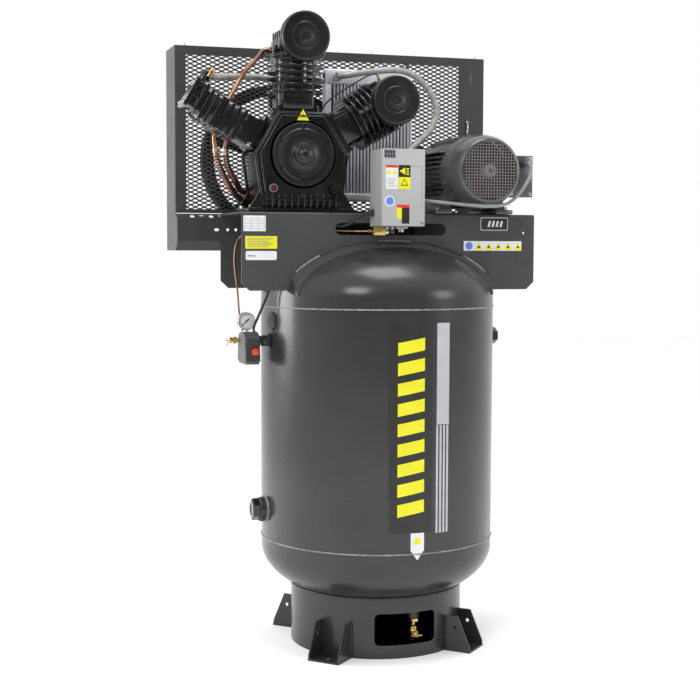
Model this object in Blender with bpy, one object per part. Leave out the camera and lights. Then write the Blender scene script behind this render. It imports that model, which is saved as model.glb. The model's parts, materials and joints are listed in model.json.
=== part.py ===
"""A two-stage air compressor standing on a vertical 120-gallon tank.

Metres, +Z up. The origin is on the floor, under the middle of the machine's bounding box.
Every position below is measured from the tank's own axis: all the objects hang from one empty
that stands on that axis. +X runs along the platform towards the motor, and -Y is the front.
"""
from math import acos, atan2, cos, degrees, hypot, pi, radians, sin, sqrt

import bmesh
import bpy
from mathutils import Matrix, Vector

GAP = 0.0004                     # between faces that touch on the real machine

# ---- tank and its base
TANK_AXIS_X = 0.0784             # tank axis from the middle of the bounding box
TANK_RADIUS = 0.381
TANK_WALL = 0.005
HEAD_DEPTH = 0.190               # two-to-one elliptical heads
TANK_LOW = 0.324                 # where the bottom head's curve starts
TANK_HIGH = 1.137                # where the top head's curve starts
SKIRT_RADIUS = 0.282
SKIRT_WALL = 0.005
SKIRT_TOP = 0.1925
FOOT_REACH = 0.366               # from the tank axis to a foot's outer edge
FOOT_WIDTH = 0.108
FOOT_RISE = 0.115                # height of a foot's side plates at the skirt

# ---- platform across the top head
PLATFORM_HALF_LENGTH = 0.492
PLATFORM_HALF_DEPTH = 0.1535
PLATFORM_TOP = 1.4046
FLANGE_LOW = 1.161
SHEET = 0.005

# ---- pump: three cylinders in a W on one crankshaft along Y
CRANK_X = -0.291
CRANK_Z = 1.585
CRANK_RADIUS = 0.035             # half of the 70 mm stroke
ROD_LENGTH = 0.185
FACE = 0.133                     # from the crank axis to each cylinder's seat
CASE_FRONT = -0.137
CASE_REAR = 0.060
CASE_WALL = 0.010
BANKS = {                        # turn about Y in degrees, place along Y, bore radius
    "right": (60, -0.070, 0.045),
    "center": (0, -0.037, 0.045),
    "left": (-60, -0.004, 0.030),
}
BORE_SIDES = 20
CROWN_ABOVE_PIN = 0.035
BARREL_TOP = 0.306               # the large cylinders' upper end, from the crank axis
SMALL_BARREL_TOP = 0.280
FIN_RADIUS = 0.090
HEAD_TOP = 0.390
SMALL_HEAD_TOP = 0.390
SMALL_ASIDE = -0.012             # the small cylinder's plates are off its axis

# ---- drive
FLYWHEEL_RADIUS = 0.250
PULLEY_RADIUS = 0.084
DRIVE_Y = 0.222                  # middle of the belt
BELT_HALF_WIDTH = 0.0165
BELT_DEPTH = 0.010
GROOVE_DEPTH = 0.010

# ---- motor, a 132 mm shaft height frame
MOTOR_X = 0.273
MOTOR_Z = PLATFORM_TOP + 0.1330
GRILLE_RADIUS = 0.095

# ---- belt guard
GUARD_LEFT, GUARD_RIGHT = -0.634, 0.450
GUARD_TOP, GUARD_LOW = 1.950, 1.284
GUARD_REAR = 0.345
PANEL_FRONT, PANEL_BACK = 0.1845, 0.1875
PANEL_LOW = 1.405
TROUGH_FRONT = PLATFORM_HALF_DEPTH + GAP

# ---- starter box
BOX_LEFT, BOX_RIGHT = -0.076, 0.064
BOX_LOW, BOX_TOP = 1.362, 1.600
BOX_FRONT, BOX_BACK = -0.262, -PLATFORM_HALF_DEPTH - GAP
DOOR_DEPTH = 0.013

# ---- controls on the tank's left
SWITCH_X = (-0.465, -0.4165)
SWITCH_Y = (-0.090, 0.022)
SWITCH_Z = (0.926, 1.028)
GAUGE = (-0.449, -0.030, 1.0605)
GAUGE_RADIUS = 0.0285
NEEDLE_REST = -132               # degrees from straight up: the dial's zero is at the lower left

# colour, roughness, metallic
LOOKS = {
    "grey_paint": ((0.075, 0.078, 0.08), 0.45, 0.0),
    "guard_paint": ((0.055, 0.057, 0.06), 0.5, 0.0),
    "black_gloss": ((0.012, 0.012, 0.013), 0.3, 0.0),
    "motor_paint": ((0.16, 0.165, 0.17), 0.4, 0.0),
    "box_paint": ((0.45, 0.46, 0.46), 0.4, 0.0),
    "steel": ((0.55, 0.55, 0.56), 0.3, 1.0),
    "aluminium": ((0.70, 0.70, 0.74), 0.35, 1.0),
    "copper": ((0.72, 0.36, 0.20), 0.3, 1.0),
    "brass": ((0.75, 0.55, 0.22), 0.3, 1.0),
    "rubber": ((0.015, 0.015, 0.015), 0.8, 0.0),
    "red_plastic": ((0.65, 0.05, 0.03), 0.4, 0.0),
    "black_plastic": ((0.02, 0.02, 0.02), 0.5, 0.0),
    "grey_plastic": ((0.42, 0.42, 0.42), 0.5, 0.0),
    "cast_iron": ((0.12, 0.12, 0.12), 0.6, 0.2),
}


# ---------------------------------------------------------------- shapes
PLACE = {
    "X": lambda a, b, height: (height, a, b),
    "Y": lambda a, b, height: (a, height, b),
    "Z": lambda a, b, height: (a, b, height),
}
TO_AXIS = {
    "X": Matrix.Rotation(pi / 2, 4, "Y"),
    "Y": Matrix.Rotation(-pi / 2, 4, "X"),
    "Z": Matrix.Identity(4),
}


def outward(shape):
    bmesh.ops.recalc_face_normals(shape, faces=shape.faces)
    return shape


def prism(outline, low, high, axis="Z"):
    """An outline drawn across an axis, extruded along it from low to high."""
    shape = bmesh.new()
    place = PLACE[axis]
    lower = [shape.verts.new(place(a, b, low)) for a, b in outline]
    face = shape.faces.new(lower)
    grown = bmesh.ops.extrude_face_region(shape, geom=[face], use_keep_orig=True)
    upper = [part for part in grown["geom"] if isinstance(part, bmesh.types.BMVert)]
    bmesh.ops.translate(shape, verts=upper, vec=place(0, 0, high - low))
    return outward(shape)


def box(x, y, z):
    """A block between two values of each coordinate."""
    return prism([(x[0], y[0]), (x[1], y[0]), (x[1], y[1]), (x[0], y[1])], z[0], z[1])


def turned(profile, segments=24, axis="Z", centre=(0, 0, 0), ring=False):
    """A profile of (radius, height) points spun about an axis; a ring's profile is a closed loop."""
    shape = bmesh.new()
    verts = [shape.verts.new((radius, 0, height)) for radius, height in profile]
    edges = [shape.edges.new(pair) for pair in zip(verts, verts[1:])]
    if ring:
        edges.append(shape.edges.new((verts[-1], verts[0])))
    bmesh.ops.spin(shape, geom=verts + edges, axis=(0, 0, 1), cent=(0, 0, 0),
                   angle=2 * pi, steps=segments)
    bmesh.ops.remove_doubles(shape, verts=shape.verts, dist=1e-6)
    bmesh.ops.transform(shape, matrix=Matrix.Translation(centre) @ TO_AXIS[axis], verts=shape.verts)
    return outward(shape)


def rod(radius, low, high, axis="Z", centre=(0, 0, 0), segments=24):
    return turned([(0, low), (radius, low), (radius, high), (0, high)], segments, axis, centre)


def tube(outer, inner, low, high, axis="Z", centre=(0, 0, 0), segments=24):
    loop = [(inner, low), (outer, low), (outer, high), (inner, high)]
    return turned(loop, segments, axis, centre, ring=True)


def smooth_path(points, steps=4):
    """A smooth curve through the points (Catmull-Rom)."""
    points = [Vector(point) for point in points]
    padded = [2 * points[0] - points[1], *points, 2 * points[-1] - points[-2]]
    path = []
    for a, b, c, d in zip(padded, padded[1:], padded[2:], padded[3:]):
        for step in range(steps):
            t = step / steps
            path.append(0.5 * (2 * b + (c - a) * t + (2 * a - 5 * b + 4 * c - d) * t ** 2
                               + (3 * b - a - 3 * c + d) * t ** 3))
    return [*path, points[-1]]


def pipe(points, radius, sides=8, steps=2):
    """A round bar swept along a smooth curve through the points."""
    path = smooth_path(points, steps)
    first, second, *_, before, last = [Vector(point) for point in points]
    headings = [second - first, *[after - back for back, after in zip(path, path[2:])], last - before]
    shape = bmesh.new()
    heading = headings[0].normalized()
    across = heading.orthogonal().normalized()
    rings = []
    for point, ahead in zip(path, headings):
        across = heading.rotation_difference(ahead) @ across
        heading = ahead.normalized()
        up = heading.cross(across)
        corners = [across * cos(2 * pi * k / sides) + up * sin(2 * pi * k / sides) for k in range(sides)]
        rings.append([shape.verts.new(point + radius * corner) for corner in corners])
    for ring, following in zip(rings, rings[1:]):
        for k in range(sides):
            shape.faces.new((ring[k], ring[(k + 1) % sides], following[(k + 1) % sides], following[k]))
    shape.faces.new(rings[0])
    shape.faces.new(rings[-1])
    return outward(shape)


def together(*shapes):
    """Several shapes in one mesh, still separate bodies."""
    whole = bmesh.new()
    for shape in shapes:
        mesh = bpy.data.meshes.new("piece")
        shape.to_mesh(mesh)
        shape.free()
        whole.from_mesh(mesh)
        bpy.data.meshes.remove(mesh)
    return whole


def arc(centre, radius, start, end, steps):
    """Points along an arc, in degrees."""
    angles = [radians(start + (end - start) * k / steps) for k in range(steps + 1)]
    return [(centre[0] + radius * cos(a), centre[1] + radius * sin(a)) for a in angles]


def stadium(x, z, steps=5):
    """The outline of a slot with round ends between two x and two z values."""
    radius = (z[1] - z[0]) / 2
    middle = (z[0] + z[1]) / 2
    return (arc((x[1] - radius, middle), radius, -90, 90, steps)
            + arc((x[0] + radius, middle), radius, 90, 270, steps))


def rounded(x, z, radius, steps=3):
    """The outline of a rectangle with round corners."""
    corners = [(x[1] - radius, z[0] + radius, -90), (x[1] - radius, z[1] - radius, 0),
               (x[0] + radius, z[1] - radius, 90), (x[0] + radius, z[0] + radius, 180)]
    return [point for cx, cz, start in corners for point in arc((cx, cz), radius, start, start + 90, steps)]


# ---------------------------------------------------------------- objects
def start():
    for old in list(bpy.data.objects):
        bpy.data.objects.remove(old)
    axis = bpy.data.objects.new("tank_axis", None)
    axis.location = (TANK_AXIS_X, 0, 0)
    bpy.context.collection.objects.link(axis)
    return axis


def material(look):
    if look in bpy.data.materials:
        return bpy.data.materials[look]
    made = bpy.data.materials.new(look)
    made.use_nodes = True
    colour, roughness, metallic = LOOKS[look]
    shader = made.node_tree.nodes["Principled BSDF"]
    shader.inputs["Base Color"].default_value = (*colour, 1)
    shader.inputs["Roughness"].default_value = roughness
    shader.inputs["Metallic"].default_value = metallic
    return made


PIVOTS = {}                      # where each object's origin is in the frame its shapes are drawn in


def hang(name, shape, parent, pivot):
    """An object with this mesh under a parent, its origin moved to the pivot of the drawing."""
    bmesh.ops.translate(shape, verts=shape.verts, vec=-Vector(pivot))
    mesh = bpy.data.meshes.new(name)
    shape.to_mesh(mesh)
    shape.free()
    made = bpy.data.objects.new(name, mesh)
    made.parent = parent
    made.location = pivot
    bpy.context.collection.objects.link(made)
    PIVOTS[name] = pivot
    return made


def painted(made, look, smooth=True):
    made.data.materials.append(material(look))
    if smooth:
        made.data.shade_smooth()
        made.data.set_sharp_from_angle(angle=radians(35))
    return made


def part(name, shape, look, pivot=(0, 0, 0), smooth=True):
    """A sub-part whose shape is drawn in place; its origin goes to the pivot."""
    return painted(hang(name, shape, bpy.data.objects["tank_axis"], pivot), look, smooth)


def bank_part(name, shape, look, bank, lift=0):
    """A sub-part drawn with its cylinder upright on the crank axis, then leaned over with its bank.

    Its origin is on the cylinder's axis, lift above the crankshaft.
    """
    turn, along, _ = BANKS[bank]
    lean = radians(turn)
    made = hang(f"{name}_{bank}", shape, bpy.data.objects["tank_axis"], (0, 0, lift))
    made.location = (CRANK_X + lift * sin(lean), along, CRANK_Z + lift * cos(lean))
    made.rotation_euler = (0, lean, 0)
    return painted(made, look)


def boolean(target, shape, operation):
    """Cuts a shape out of an object or joins it on. The shape is drawn like the object's own."""
    name = f"{target.name}_{operation.lower()}_{len(target.modifiers) + 1}"
    guide = hang(name, shape, target, PIVOTS[target.name])
    guide.location = (0, 0, 0)
    guide.hide_render = True
    guide.display_type = "WIRE"
    change = target.modifiers.new(name, "BOOLEAN")
    change.operation = operation
    change.object = guide
    change.solver = "EXACT"
    return guide


def cut(target, *shapes):
    for shape in shapes:
        boolean(target, shape, "DIFFERENCE")


def join(target, *shapes):
    for shape in shapes:
        boolean(target, shape, "UNION")


# ---------------------------------------------------------------- tank and base
def tank_profile(grow, steps):
    """The tank's outline from the bottom of its axis to the top, grown outwards by some metres."""
    radius, depth = TANK_RADIUS + grow, HEAD_DEPTH + grow
    lower = [(radius * sin(pi / 2 * k / steps), TANK_LOW - depth * cos(pi / 2 * k / steps))
             for k in range(steps + 1)]
    upper = [(radius * cos(pi / 2 * k / steps), TANK_HIGH + depth * sin(pi / 2 * k / steps))
             for k in range(steps + 1)]
    lower[0], upper[-1] = (0, lower[0][1]), (0, upper[-1][1])
    return lower + upper


def tank_solid(grow, steps=6, segments=36):
    return turned(tank_profile(grow, steps), segments)


# ports on the tank's side: height, place along Y, side (-1 is left), boss radius, bore radius
SIDE_PORTS = {
    "left": (0.448, 0.0, -1, 0.040, 0.024),
    "right": (1.001, 0.0, 1, 0.031, 0.019),
    "nipple": (0.998, -0.043, -1, 0.018, 0.0085),
}
PORT_FACE = 0.403                # from the tank axis to the faces of the side bosses
INLET = (0.030, -0.040)          # discharge inlet in the top head
INLET_FACE = 1.338
DRAIN = (0.060, -0.205)          # bottom outlet, behind the skirt's window
DRAIN_FACE = 0.108
VALVE_Z = 0.057


def build_tank():
    tank = part("tank", tank_solid(0), "grey_paint")
    bosses, bores = [], []
    for height, along, side, boss, bore in SIDE_PORTS.values():
        centre = (0, along, height)
        bosses.append(rod(boss, *sorted((side * 0.355, side * PORT_FACE)), "X", centre, 20))
        bores.append(rod(bore, *sorted((side * 0.345, side * (PORT_FACE + 0.01))), "X", centre, 16))
    bosses.append(rod(0.022, 1.30, INLET_FACE, "Z", (*INLET, 0), 16))
    bores.append(rod(0.0105, 1.28, INLET_FACE + 0.01, "Z", (*INLET, 0), 12))
    bosses.append(rod(0.021, DRAIN_FACE, 0.20, "Z", (*DRAIN, 0), 16))
    bores.append(rod(0.0105, DRAIN_FACE - 0.01, 0.22, "Z", (*DRAIN, 0), 12))
    blank = rod(0.030, 0.36, 0.386, "X", segments=20)
    turn = Matrix.Translation((0, 0, 1.062)) @ Matrix.Rotation(radians(191), 4, "Z")
    bmesh.ops.transform(blank, matrix=turn, verts=blank.verts)
    join(tank, together(*bosses, blank))
    cut(tank, tank_solid(-TANK_WALL, 4, 24), together(*bores))


def build_skirt():
    skirt = part("base_skirt", tube(SKIRT_RADIUS, SKIRT_RADIUS - SKIRT_WALL, 0, SKIRT_TOP, segments=40),
                 "grey_paint")
    window = prism(rounded((-0.092, 0.112), (0.043, 0.144), 0.016), -0.32, -0.20, "Y")
    cut(skirt, window)


def build_feet():
    """Four channel-shaped brackets on the diagonals, each with two tapered side plates."""
    names = {"front_left": 225, "front_right": 315, "rear_right": 45, "rear_left": 135}
    half = FOOT_WIDTH / 2
    for name, degrees in names.items():
        tip = FOOT_REACH - 0.002
        side = [(0.245, 0.003), (tip, 0.003), (tip, 0.018), (0.322, FOOT_RISE), (0.245, FOOT_RISE)]
        shape = box((0.24, FOOT_REACH), (-half - 0.001, half + 0.001), (0, 0.006))
        around = Matrix.Rotation(radians(degrees), 4, "Z")
        bmesh.ops.transform(shape, matrix=around, verts=shape.verts)
        foot = part(f"foot_bracket_{name}", shape, "grey_paint", smooth=False)
        for low in (-half, half - SHEET):
            gusset = prism(side, low, low + SHEET, "Y")
            bmesh.ops.transform(gusset, matrix=around, verts=gusset.verts)
            join(foot, gusset)
        slot = prism(stadium((0.318, 0.346), (-0.0075, 0.0075), 3), -0.01, 0.02)
        holes = together(slot, rod(0.0065, -0.1, 0.1, "Y", (0.312, 0, 0.078), 8))
        bmesh.ops.transform(holes, matrix=around, verts=holes.verts)
        cut(foot, rod(SKIRT_RADIUS + GAP, -0.1, 0.3, segments=40), holes)


def channel_outline(half_depth, top, low):
    return [(-half_depth, low), (half_depth, low), (half_depth, top - 0.004), (half_depth - 0.004, top),
            (-half_depth + 0.004, top), (-half_depth, top - 0.004)]


def build_platform():
    """The channel that carries pump and motor; its flanges sit on the top head with saddle straps."""
    length, depth = PLATFORM_HALF_LENGTH, PLATFORM_HALF_DEPTH
    platform = part("top_platform", prism(channel_outline(depth, PLATFORM_TOP, FLANGE_LOW), -length, length,
                                          "X"), "grey_paint", smooth=False)
    cut(platform, prism(channel_outline(depth - SHEET, PLATFORM_TOP - SHEET, 1.0), -0.6, 0.6, "X"))
    corners = [prism([(side * (length - 0.026), 1.1), (side * 0.6, 1.1), (side * 0.6, FLANGE_LOW + 0.12),
                      (side * length, FLANGE_LOW + 0.024), (side * (length - 0.026), FLANGE_LOW)],
                     -0.3, 0.3, "Y") for side in (-1, 1)]
    slot = prism(stadium((-0.190, 0.182), (1.335, 1.373)), -0.3, 0.3, "Y")
    cut(platform, together(*corners, slot))
    for side in (-1, 1):
        y = sorted((side * (depth - SHEET), side * (depth + 0.050)))
        strap = boolean(platform, box((-0.33, 0.33), y, (1.146, 1.36)), "UNION")
        PIVOTS[strap.name] = (0, 0, 0)
        boolean(strap, tank_solid(0.006), "INTERSECT")
    cut(platform, tank_solid(GAP), rod(0.018, 1.38, 1.42, "Z", (*INLET, 0), 16))


# ---------------------------------------------------------------- fittings on the tank
def hex_plug(name, port, corner):
    height, along, side, _, bore = SIDE_PORTS[port]
    head = sorted((side * (PORT_FACE + GAP), side * 0.4265))
    plug = part(name, rod(corner, *head, "X", (0, along, height), 6), "black_gloss", smooth=False)
    join(plug, rod(bore - GAP, *sorted((side * 0.37, side * 0.41)), "X", (0, along, height), 16))


def build_drain():
    """A small brass valve screwed up into the tank's bottom outlet, its spout and handle to the front."""
    x, y = DRAIN
    body = part("drain_valve_body", rod(0.0095, 0.050, 0.140, "Z", (x, y, 0)), "brass")
    join(body, rod(0.0165, 0.036, 0.078, "Z", (x, y, 0)), rod(0.0130, -0.228, y, "Y", (x, 0, VALVE_Z)))
    pivot = (x, -0.2284, VALVE_Z)
    handle = part("drain_valve_handle", rod(0.009, -0.238, pivot[1], "Y", (x, 0, VALVE_Z), 16), "brass",
                  pivot)
    join(handle, box((x - 0.019, x + 0.019), (-0.244, -0.234), (VALVE_Z - 0.0035, VALVE_Z + 0.0035)))


def build_switch():
    nipple = part("tank_nipple", rod(0.0081, SWITCH_X[1] + GAP, -0.365, "X", (0, -0.043, 0.998), 16),
                  "black_gloss")
    join(nipple, rod(0.0165, -0.4135, -0.4035, "X", (0, -0.043, 0.998), 6))
    switch = part("pressure_switch", box(SWITCH_X, SWITCH_Y, SWITCH_Z), "black_plastic", smooth=False)
    bevel = switch.modifiers.new("edges", "BEVEL")
    bevel.width = 0.003
    bevel.segments = 1
    knob_at = (-0.434, SWITCH_Y[0] - GAP, 0.967)
    knob = part("switch_knob", rod(0.0115, -0.098, knob_at[1], "Y", (knob_at[0], 0, knob_at[2]), 20),
                "red_plastic", knob_at)
    join(knob, box((-0.4365, -0.4315), (-0.104, -0.097), (0.956, 0.978)))
    x, y, z = GAUGE
    case_profile = [(0, y - 0.002), (GAUGE_RADIUS - 0.003, y - 0.002), (GAUGE_RADIUS - 0.003, y - 0.011),
                    (GAUGE_RADIUS, y - 0.011), (GAUGE_RADIUS, y + 0.012), (GAUGE_RADIUS - 0.004, y + 0.016),
                    (0, y + 0.016)]
    case = part("gauge_case", turned(case_profile, 28, "Y", (x, 0, z)), "steel")
    join(case, rod(0.006, SWITCH_Z[1] + GAP, z - GAUGE_RADIUS + 0.004, "Z", (x, y, 0), 12))
    needle_at = (x, y - 0.0052, z)
    needle = part("gauge_needle", rod(0.003, y - 0.0065, y - 0.0025, "Y", (x, 0, z), 12), "black_plastic",
                  needle_at)
    pointer = prism([(-0.0018, -0.006), (0.0018, -0.006), (0.0006, 0.020), (-0.0006, 0.020)], y - 0.0060,
                    y - 0.0045, "Y")
    turn = Matrix.Translation((x, 0, z)) @ Matrix.Rotation(radians(NEEDLE_REST), 4, "Y")
    bmesh.ops.transform(pointer, matrix=turn, verts=pointer.verts)
    join(needle, pointer)


def build_safety_valve():
    """A brass relief valve on the switch's left side; its pull stem carries a split ring."""
    x = SWITCH_X[0] - GAP
    centre = (0, 0.006, 0.998)
    steps = [(0, x), (0.0065, x), (0.0065, x - 0.007), (0.0115, x - 0.007), (0.0115, x - 0.017),
             (0.0095, x - 0.018), (0.0095, x - 0.032), (0.006, x - 0.034), (0, x - 0.034)]
    part("safety_valve", turned(steps, 20, "X", centre), "brass")
    root = x - 0.034 - GAP
    stem = part("safety_valve_ring", rod(0.0022, root - 0.006, root, "X", centre, 8), "steel",
                (root, *centre[1:]))
    ring = tube(0.0098, 0.0072, root - 0.0055, root - 0.0035, "X", (0, centre[1], centre[2] - 0.0085), 16)
    join(stem, ring)


# ---------------------------------------------------------------- pump
def pump_outline(inset):
    """The crankcase's end view about the crank axis: three cylinder seats, flanks and foot."""
    seat = FACE - inset
    half = seat / sqrt(3)
    foot = 0.158 - inset
    return [(-half, seat), (-2 * half, 0), (-0.131 + inset, -foot), (0.131 - inset, -foot), (2 * half, 0),
            (half, seat)]


def moved(outline):
    return [(CRANK_X + x, CRANK_Z + z) for x, z in outline]


CRANK_CENTRE = (CRANK_X, 0, CRANK_Z)
BEARING_OUTER, BEARING_INNER = 0.036, 0.0225
COVER_BORE = 0.0775


def build_crankcase():
    case = part("crankcase", prism(moved(pump_outline(0)), CASE_FRONT, CASE_REAR, "Y"), "black_gloss",
                smooth=False)
    foot = box((CRANK_X - 0.173, CRANK_X + 0.173), (CASE_FRONT + 0.012, CASE_REAR - 0.006),
               (PLATFORM_TOP + GAP, PLATFORM_TOP + 0.014))
    pedestal = box((CRANK_X - 0.120, CRANK_X + 0.120), (CASE_FRONT + 0.02, CASE_REAR - 0.012),
                   (PLATFORM_TOP + 0.008, CRANK_Z - 0.150))
    rib_xs = [CRANK_X + 0.016 * k for k in range(-3, 4)]
    ribs = together(*[box((x - 0.003, x + 0.003), (CASE_FRONT - 0.008, CASE_FRONT + 0.03),
                          (PLATFORM_TOP + 0.010, CRANK_Z - 0.128)) for x in rib_xs])
    neck = rod(0.050, CASE_REAR - 0.006, 0.096, "Y", CRANK_CENTRE)
    join(case, foot, pedestal, ribs, neck)
    cut(case, prism(moved(pump_outline(CASE_WALL)), CASE_FRONT + CASE_WALL, CASE_REAR - CASE_WALL, "Y"))
    cut(case, rod(COVER_BORE + GAP, CASE_FRONT - 0.05, CASE_FRONT + 0.03, "Y", CRANK_CENTRE, 32))
    pocket = turned([(0, 0.03), (0.030, 0.03), (0.030, 0.070), (BEARING_OUTER + GAP, 0.070),
                     (BEARING_OUTER + GAP, 0.12), (0, 0.12)], 24, "Y", CRANK_CENTRE)
    cut(case, pocket)
    for turn, along, bore in BANKS.values():
        port = rod(bore + 0.0065, 0.08, 0.2)
        lean = Matrix.Translation((CRANK_X, along, CRANK_Z)) @ Matrix.Rotation(radians(turn), 4, "Y")
        bmesh.ops.transform(port, matrix=lean, verts=port.verts)
        cut(case, port)


def build_crankshaft():
    """Journals along Y, two webs with counterweights, and one pin that three rods share."""
    journal = part("crankshaft", rod(0.022, -0.130, -0.090, "Y", CRANK_CENTRE), "steel", CRANK_CENTRE)
    pin_centre = (CRANK_X, 0, CRANK_Z + CRANK_RADIUS)
    web = moved([(-0.026, CRANK_RADIUS), *arc((0, CRANK_RADIUS), 0.026, 180, 0, 6)[1:-1],
                 (0.026, CRANK_RADIUS), (0.034, 0.0), *arc((0, 0), 0.074, -25, -155, 7), (-0.034, 0.0)])
    join(journal, prism(web, -0.0965, -0.0850, "Y"), rod(0.018, -0.090, 0.016, "Y", pin_centre, 20),
         prism(web, 0.0105, 0.0220, "Y"), rod(0.022, 0.016, 0.262, "Y", CRANK_CENTRE))
    ring = (BEARING_OUTER, BEARING_INNER)
    part("main_bearing_front", tube(*ring, -0.131, -0.112, "Y", CRANK_CENTRE), "steel")
    part("main_bearing_rear", tube(*ring, 0.072, 0.092, "Y", CRANK_CENTRE), "steel")
    face = CASE_FRONT - GAP
    profile = [(0, -0.168), (0.018, -0.166), (0.030, -0.158), (0.036, face - 0.013), (0.060, face - 0.016),
               (0.064, face - 0.011), (0.096, face - 0.011), (0.100, face - 0.008), (0.100, face),
               (COVER_BORE, face), (COVER_BORE, -0.1115), (BEARING_OUTER + GAP, -0.1115),
               (BEARING_OUTER + GAP, -0.1315), (0.026, -0.1315), (0.026, -0.136), (0, -0.136)]
    part("bearing_cover", turned(profile, 24, "Y", CRANK_CENTRE), "black_gloss")


def rest_drop(turn):
    """How far below its top dead centre a bank's piston stands with the crankpin straight up."""
    angle = radians(turn)
    reach = CRANK_RADIUS * cos(angle) + sqrt(ROD_LENGTH ** 2 - (CRANK_RADIUS * sin(angle)) ** 2)
    return CRANK_RADIUS + ROD_LENGTH - reach


def fin_stack(core, edge, first, pitch, count, low, high, thick=0.004):
    """A finned barrel's outer profile from low to high."""
    profile = [(core, low)]
    for k in range(count):
        level = first + pitch * k
        profile += [(core, level), (edge, level), (edge, level + thick), (core, level + thick)]
    return [*profile, (core, high)]


def build_low_pressure(bank):
    """A round finned cylinder with its head."""
    bore = BANKS[bank][2]
    outside = fin_stack(0.062, FIN_RADIUS, 0.1985, 0.0198, 6, FACE + 0.008, BARREL_TOP)
    loop = [(bore, FACE - 0.012), (bore + 0.006, FACE - 0.012), (bore + 0.006, FACE + 0.008), *outside,
            (bore, BARREL_TOP)]
    barrel = bank_part("cylinder", turned(loop, BORE_SIDES, ring=True), "black_gloss", bank)
    join(barrel, box((-0.070, 0.070), (-0.058, 0.058), (FACE + GAP, FACE + 0.014)),
         box((-0.057, 0.043), (-0.068, 0.068), (FACE + 0.008, 0.225)))
    cut(barrel, rod(bore, FACE - 0.02, 0.24, segments=BORE_SIDES))
    low = BARREL_TOP + GAP
    plate = turned([(0, low), (FIN_RADIUS, low), (FIN_RADIUS, low + 0.014), (0, low + 0.014)], BORE_SIDES)
    head = bank_part("cylinder_head", plate, "black_gloss", bank)
    join(head, box((-0.064, 0.064), (-0.058, 0.058), (low + 0.008, HEAD_TOP)))
    cut(head, together(*[box((-0.07, 0.07), (y - 0.004, y + 0.004), (0.362, 0.4)) for y in
                         (-0.036, -0.012, 0.012, 0.036)]))


def build_high_pressure():
    """The smaller cylinder: square plates on a round bore, and a blocky head."""
    bore = BANKS["left"][2]
    loop = [(bore, FACE - 0.012), (bore + 0.006, FACE - 0.012), (bore + 0.006, FACE + 0.008),
            (0.038, FACE + 0.008), (0.038, SMALL_BARREL_TOP), (bore, SMALL_BARREL_TOP)]
    barrel = bank_part("cylinder", turned(loop, BORE_SIDES, ring=True), "black_gloss", "left")
    plates = [(FACE + GAP, 0.014, 0.058, 0.0), (0.158, 0.034, 0.046, -0.008),
              (0.200, 0.011, 0.053, SMALL_ASIDE),
              (0.2225, 0.011, 0.053, SMALL_ASIDE), (0.245, 0.011, 0.053, SMALL_ASIDE),
              (0.2675, 0.0125, 0.053, SMALL_ASIDE)]
    for level, thick, half, aside in plates:
        join(barrel, box((aside - half, aside + half), (-half, half), (level, level + thick)))
    cut(barrel, rod(bore, FACE - 0.02, 0.30, segments=BORE_SIDES))
    low = SMALL_BARREL_TOP + GAP
    block = box((-0.044, 0.044), (-0.044, 0.044), (low, SMALL_HEAD_TOP - 0.004))
    head = bank_part("cylinder_head", block, "black_gloss", "left")
    plates = [(low + 0.0002, 0.011, 0.053, SMALL_ASIDE), (0.303, 0.009, 0.053, SMALL_ASIDE),
              (0.321, 0.012, 0.053, SMALL_ASIDE), (0.343, 0.010, 0.050, 0.0), (0.378, 0.012, 0.050, 0.0)]
    for level, thick, half, aside in plates:
        join(head, box((aside - half, aside + half), (-half, half), (level, level + thick)))


def build_pistons():
    """Each piston hangs on its bank's axis; its rod's foot stops clear of the crankpin's sweep."""
    for bank, (turn, _, bore) in BANKS.items():
        pin = CRANK_RADIUS + ROD_LENGTH - rest_drop(turn)
        outside, inside = bore - 0.0004, bore - 0.006
        crown = pin + CROWN_ABOVE_PIN
        belt = crown - 0.008
        profile = [(0, crown), (outside, crown), (outside, belt), (outside - 0.002, belt),
                   (outside - 0.002, belt - 0.004), (outside, belt - 0.004), (outside, pin - 0.028),
                   (inside, pin - 0.028), (inside, belt - 0.001), (0, belt - 0.001)]
        bank_part("piston", turned(profile, BORE_SIDES), "aluminium", bank, pin)
        low = pin - 0.092
        conrod = bank_part("connecting_rod", rod(0.014, -0.0115, 0.0115, "Y", (0, 0, pin), 16), "cast_iron",
                           bank, pin)
        blade = prism([(-0.010, pin - 0.008), (-0.013, low + 0.020), (0.013, low + 0.020),
                       (0.010, pin - 0.008)], -0.006, 0.006, "Y")
        foot = box((-0.024, 0.024), (-0.0115, 0.0115), (low, low + 0.024))
        join(conrod, blade, foot)


def build_filters():
    """Round intake filters standing on edge in front of the two large heads."""
    for bank, aside, lift in (("center", 0.002, 0.361), ("right", -0.004, 0.335)):
        drum = turned([(0, -0.095), (0.074, -0.095), (0.0775, -0.099), (0.0775, -0.128), (0.074, -0.133),
                       (0.050, -0.133), (0.046, -0.130), (0, -0.130)], 24, "Y", (aside, 0, lift))
        body = bank_part("air_filter", drum, "black_gloss", bank)
        join(body, rod(0.016, -0.100, -0.0584, "Y", (0, 0, 0.345), 16))


def build_oil_fittings():
    face = CASE_FRONT - GAP
    part("oil_sight_glass", rod(0.016, face - 0.008, face, "Y", (CRANK_X - 0.096, 0, CRANK_Z - 0.106), 20),
         "red_plastic")
    centre = (CRANK_X + 0.100, 0, CRANK_Z - 0.108)
    cap = part("oil_filler_cap", rod(0.011, face - 0.024, face, "Y", centre, 16), "black_plastic")
    join(cap, rod(0.016, face - 0.036, face - 0.018, "Y", centre, 8))


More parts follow.
